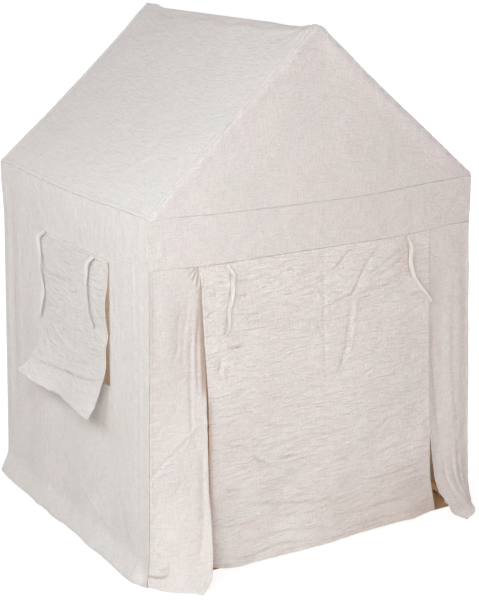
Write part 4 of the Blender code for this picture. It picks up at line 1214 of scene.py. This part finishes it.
def make_tie(name, node, route, across, outward, turns, body):
    """Flat tape along a route, drawn as a thin ribbon with rounded edges and closed ends."""
    line = smooth_line(route, 60)
    width, thick = 0.012, 0.0010
    along = np.gradient(line, axis=0)
    along /= np.linalg.norm(along, axis=1, keepdims=True)
    across = np.array(across, float)
    side = across - along * (along @ across)[:, None]
    side /= np.linalg.norm(side, axis=1, keepdims=True)
    front = np.cross(side, along)
    front *= np.sign(front @ np.array(outward, float))[:, None]
    share = np.linspace(0, 1, len(line))
    turn = through(share, turns)
    turned = side * np.cos(turn)[:, None] + front * np.sin(turn)[:, None]
    face = front * np.cos(turn)[:, None] - side * np.sin(turn)[:, None]
    half = width / 2
    upper = [(-1.0, 0.5), (-0.92, 1.3), (-0.76, 1.3), (-0.64, 0.5), (-0.3, 0.4), (0.0, 0.4), (0.3, 0.4),
             (0.64, 0.5), (0.76, 1.3), (0.92, 1.3), (1.0, 0.5)]
    section = [(half * s, t) for s, t in upper] + [(half * s, -t) for s, t in reversed(upper)]
    cup = 0.0018 * np.sin(share * 17.0)
    rings = np.stack([line + turned * s + face * (thick / 2 * t + cup * (s / half) ** 2)[:, None]
                      for s, t in section], axis=1)
    rows, columns = rings.shape[:2]
    index = np.arange(rows * columns).reshape(rows, columns).tolist()
    faces = [(index[i][j - 1], index[i][j], index[i + 1][j], index[i + 1][j - 1])
             for i in range(rows - 1) for j in (*range(1, columns), 0)]
    faces += [index[0][::-1], index[-1]]
    mesh = bpy.data.meshes.new(name)
    mesh.from_pydata((rings.reshape(-1, 3) + np.array(MIDDLE)).tolist(), [], faces)
    layer = mesh.uv_layers.new(name="UVMap")
    gone = np.concatenate([[0], np.cumsum(np.linalg.norm(np.diff(line, axis=0), axis=1))])
    for loop in mesh.loops:
        i, j = divmod(loop.vertex_index, columns)
        layer.data[loop.index].uv = (section[j][0], gone[i])
    mesh.shade_smooth()
    mesh.materials.append(TAPE)
    tie = placed(name, mesh)
    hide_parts(node)
    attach(tie, body)


make_camera()
make_light()
make_floor()

# Routes of the ties, in millimetres: place along the seam, drop below it, and distance off the flap
TIES = {
    "door_tie_left": ((-281, 3, 2.8), (-278, 12, 5), (-268, 28, 9), (-266, 49, 8.5), (-276, 113, 6.5),
                      (-287, 190, 5.5)),
    "door_tie_right": ((290, 3, 2.8), (294, 13, 5.5), (301, 38, 9.5), (300, 80, 10.5), (312, 117, 9.5),
                       (338, 154, 9), (378, 203, 8)),
    "window_tie_front": ((-166, 3, 2.8), (-153, 11, 5), (-138, 27, 10.5), (-130, 68, 9.5), (-140, 138, 8.5),
                         (-172, 196, 6.5)),
    "window_tie_back": ((157, -4, 3), (172, 4, 6), (190, 20, 10.5), (187, 40, 10.5), (177, 80, 10),
                        (171, 125, 9.5), (158, 172, 8.5), (168, 212, 8.5), (186, 248, 8.5)),
}
# How far each tie is turned about its own line: share of its length, and angle
TIE_TURNS = {"door_tie_left": ((0, 0.3), (0.18, 0.1), (0.42, 0.35), (0.70, 0.1), (1, -0.1)),
             "door_tie_right": ((0, 0.0), (0.25, 0.5), (0.5, 0.7), (0.8, 0.5), (1, 0.2)),
             "window_tie_front": ((0, 0.0), (0.2, 0.5), (0.45, 0.0), (0.75, -0.5), (1, -0.2)),
             "window_tie_back": ((0, 0.0), (0.2, 0.6), (0.45, -0.2), (0.7, 0.5), (1, 0.1))}


def make_ties():
    for name, route in TIES.items():
        body = name.split("_")[0]
        spots = []
        for along, drop, away in np.array(route) / 1000:
            if body == "door":
                z = DOOR_AXIS.z - drop
                spots.append((along, -float(door_reach(along, z)) - away, z))
            else:
                x, _, z = flap_point((along - WINDOW_ENDS[0]) / FLAP_WIDTH, drop / FLAP_LENGTH)
                spots.append((float(x) - away, along, float(z)))
        across, outward = ((1, 0, 0), (0, -1, 0)) if body == "door" else ((0, 1, 0), (-1, 0, 0))
        make_tie(name + "_tape", name, spots, across, outward, TIE_TURNS[name], body)


def dress_frame():
    """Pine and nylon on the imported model's own poles and connectors."""
    nylon = make_nylon()
    directions = {"post": (0, 0, 1), "ridge": (0, 1, 0), "left": (0, 1, 0), "right": (0, 1, 0),
                  "front": (1, 0, 0), "back": (1, 0, 0)}
    pine = {}
    for name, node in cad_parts.items():
        if "connector" in name:
            node.data.materials[0] = nylon
        elif name.startswith(("post", "rafter", "ridge_pole", "eave_rail", "floor_rail")):
            if name.startswith("rafter"):
                side = -1 if name.endswith("left") else 1
                key, direction = f"rafter {side}", (-side * math.cos(SLOPE), 0, math.sin(SLOPE))
            else:
                key = next(word for word in directions if word in name)
                direction = directions[key]
                key = {"left": "ridge", "right": "ridge", "back": "front"}.get(key, key)
            if key not in pine:
                pine[key] = make_pine("pine " + key, direction)
            node.data.materials[0] = pine[key]


make_ties()
make_door()
make_window_flap()
for end, word in ((-1, "front"), (1, "back")):
    make_gable(end, "gable_" + word, 30 + 10 * end)
for side, word in ((-1, "left"), (1, "right")):
    make_roof(side, "roof_" + word, 10 + 4 * side)
    make_jamb(side, "jamb_" + word, 130 + 10 * side)
make_valance()
make_wall_left()
make_wall_right()
make_wall_back()
dress_frame()
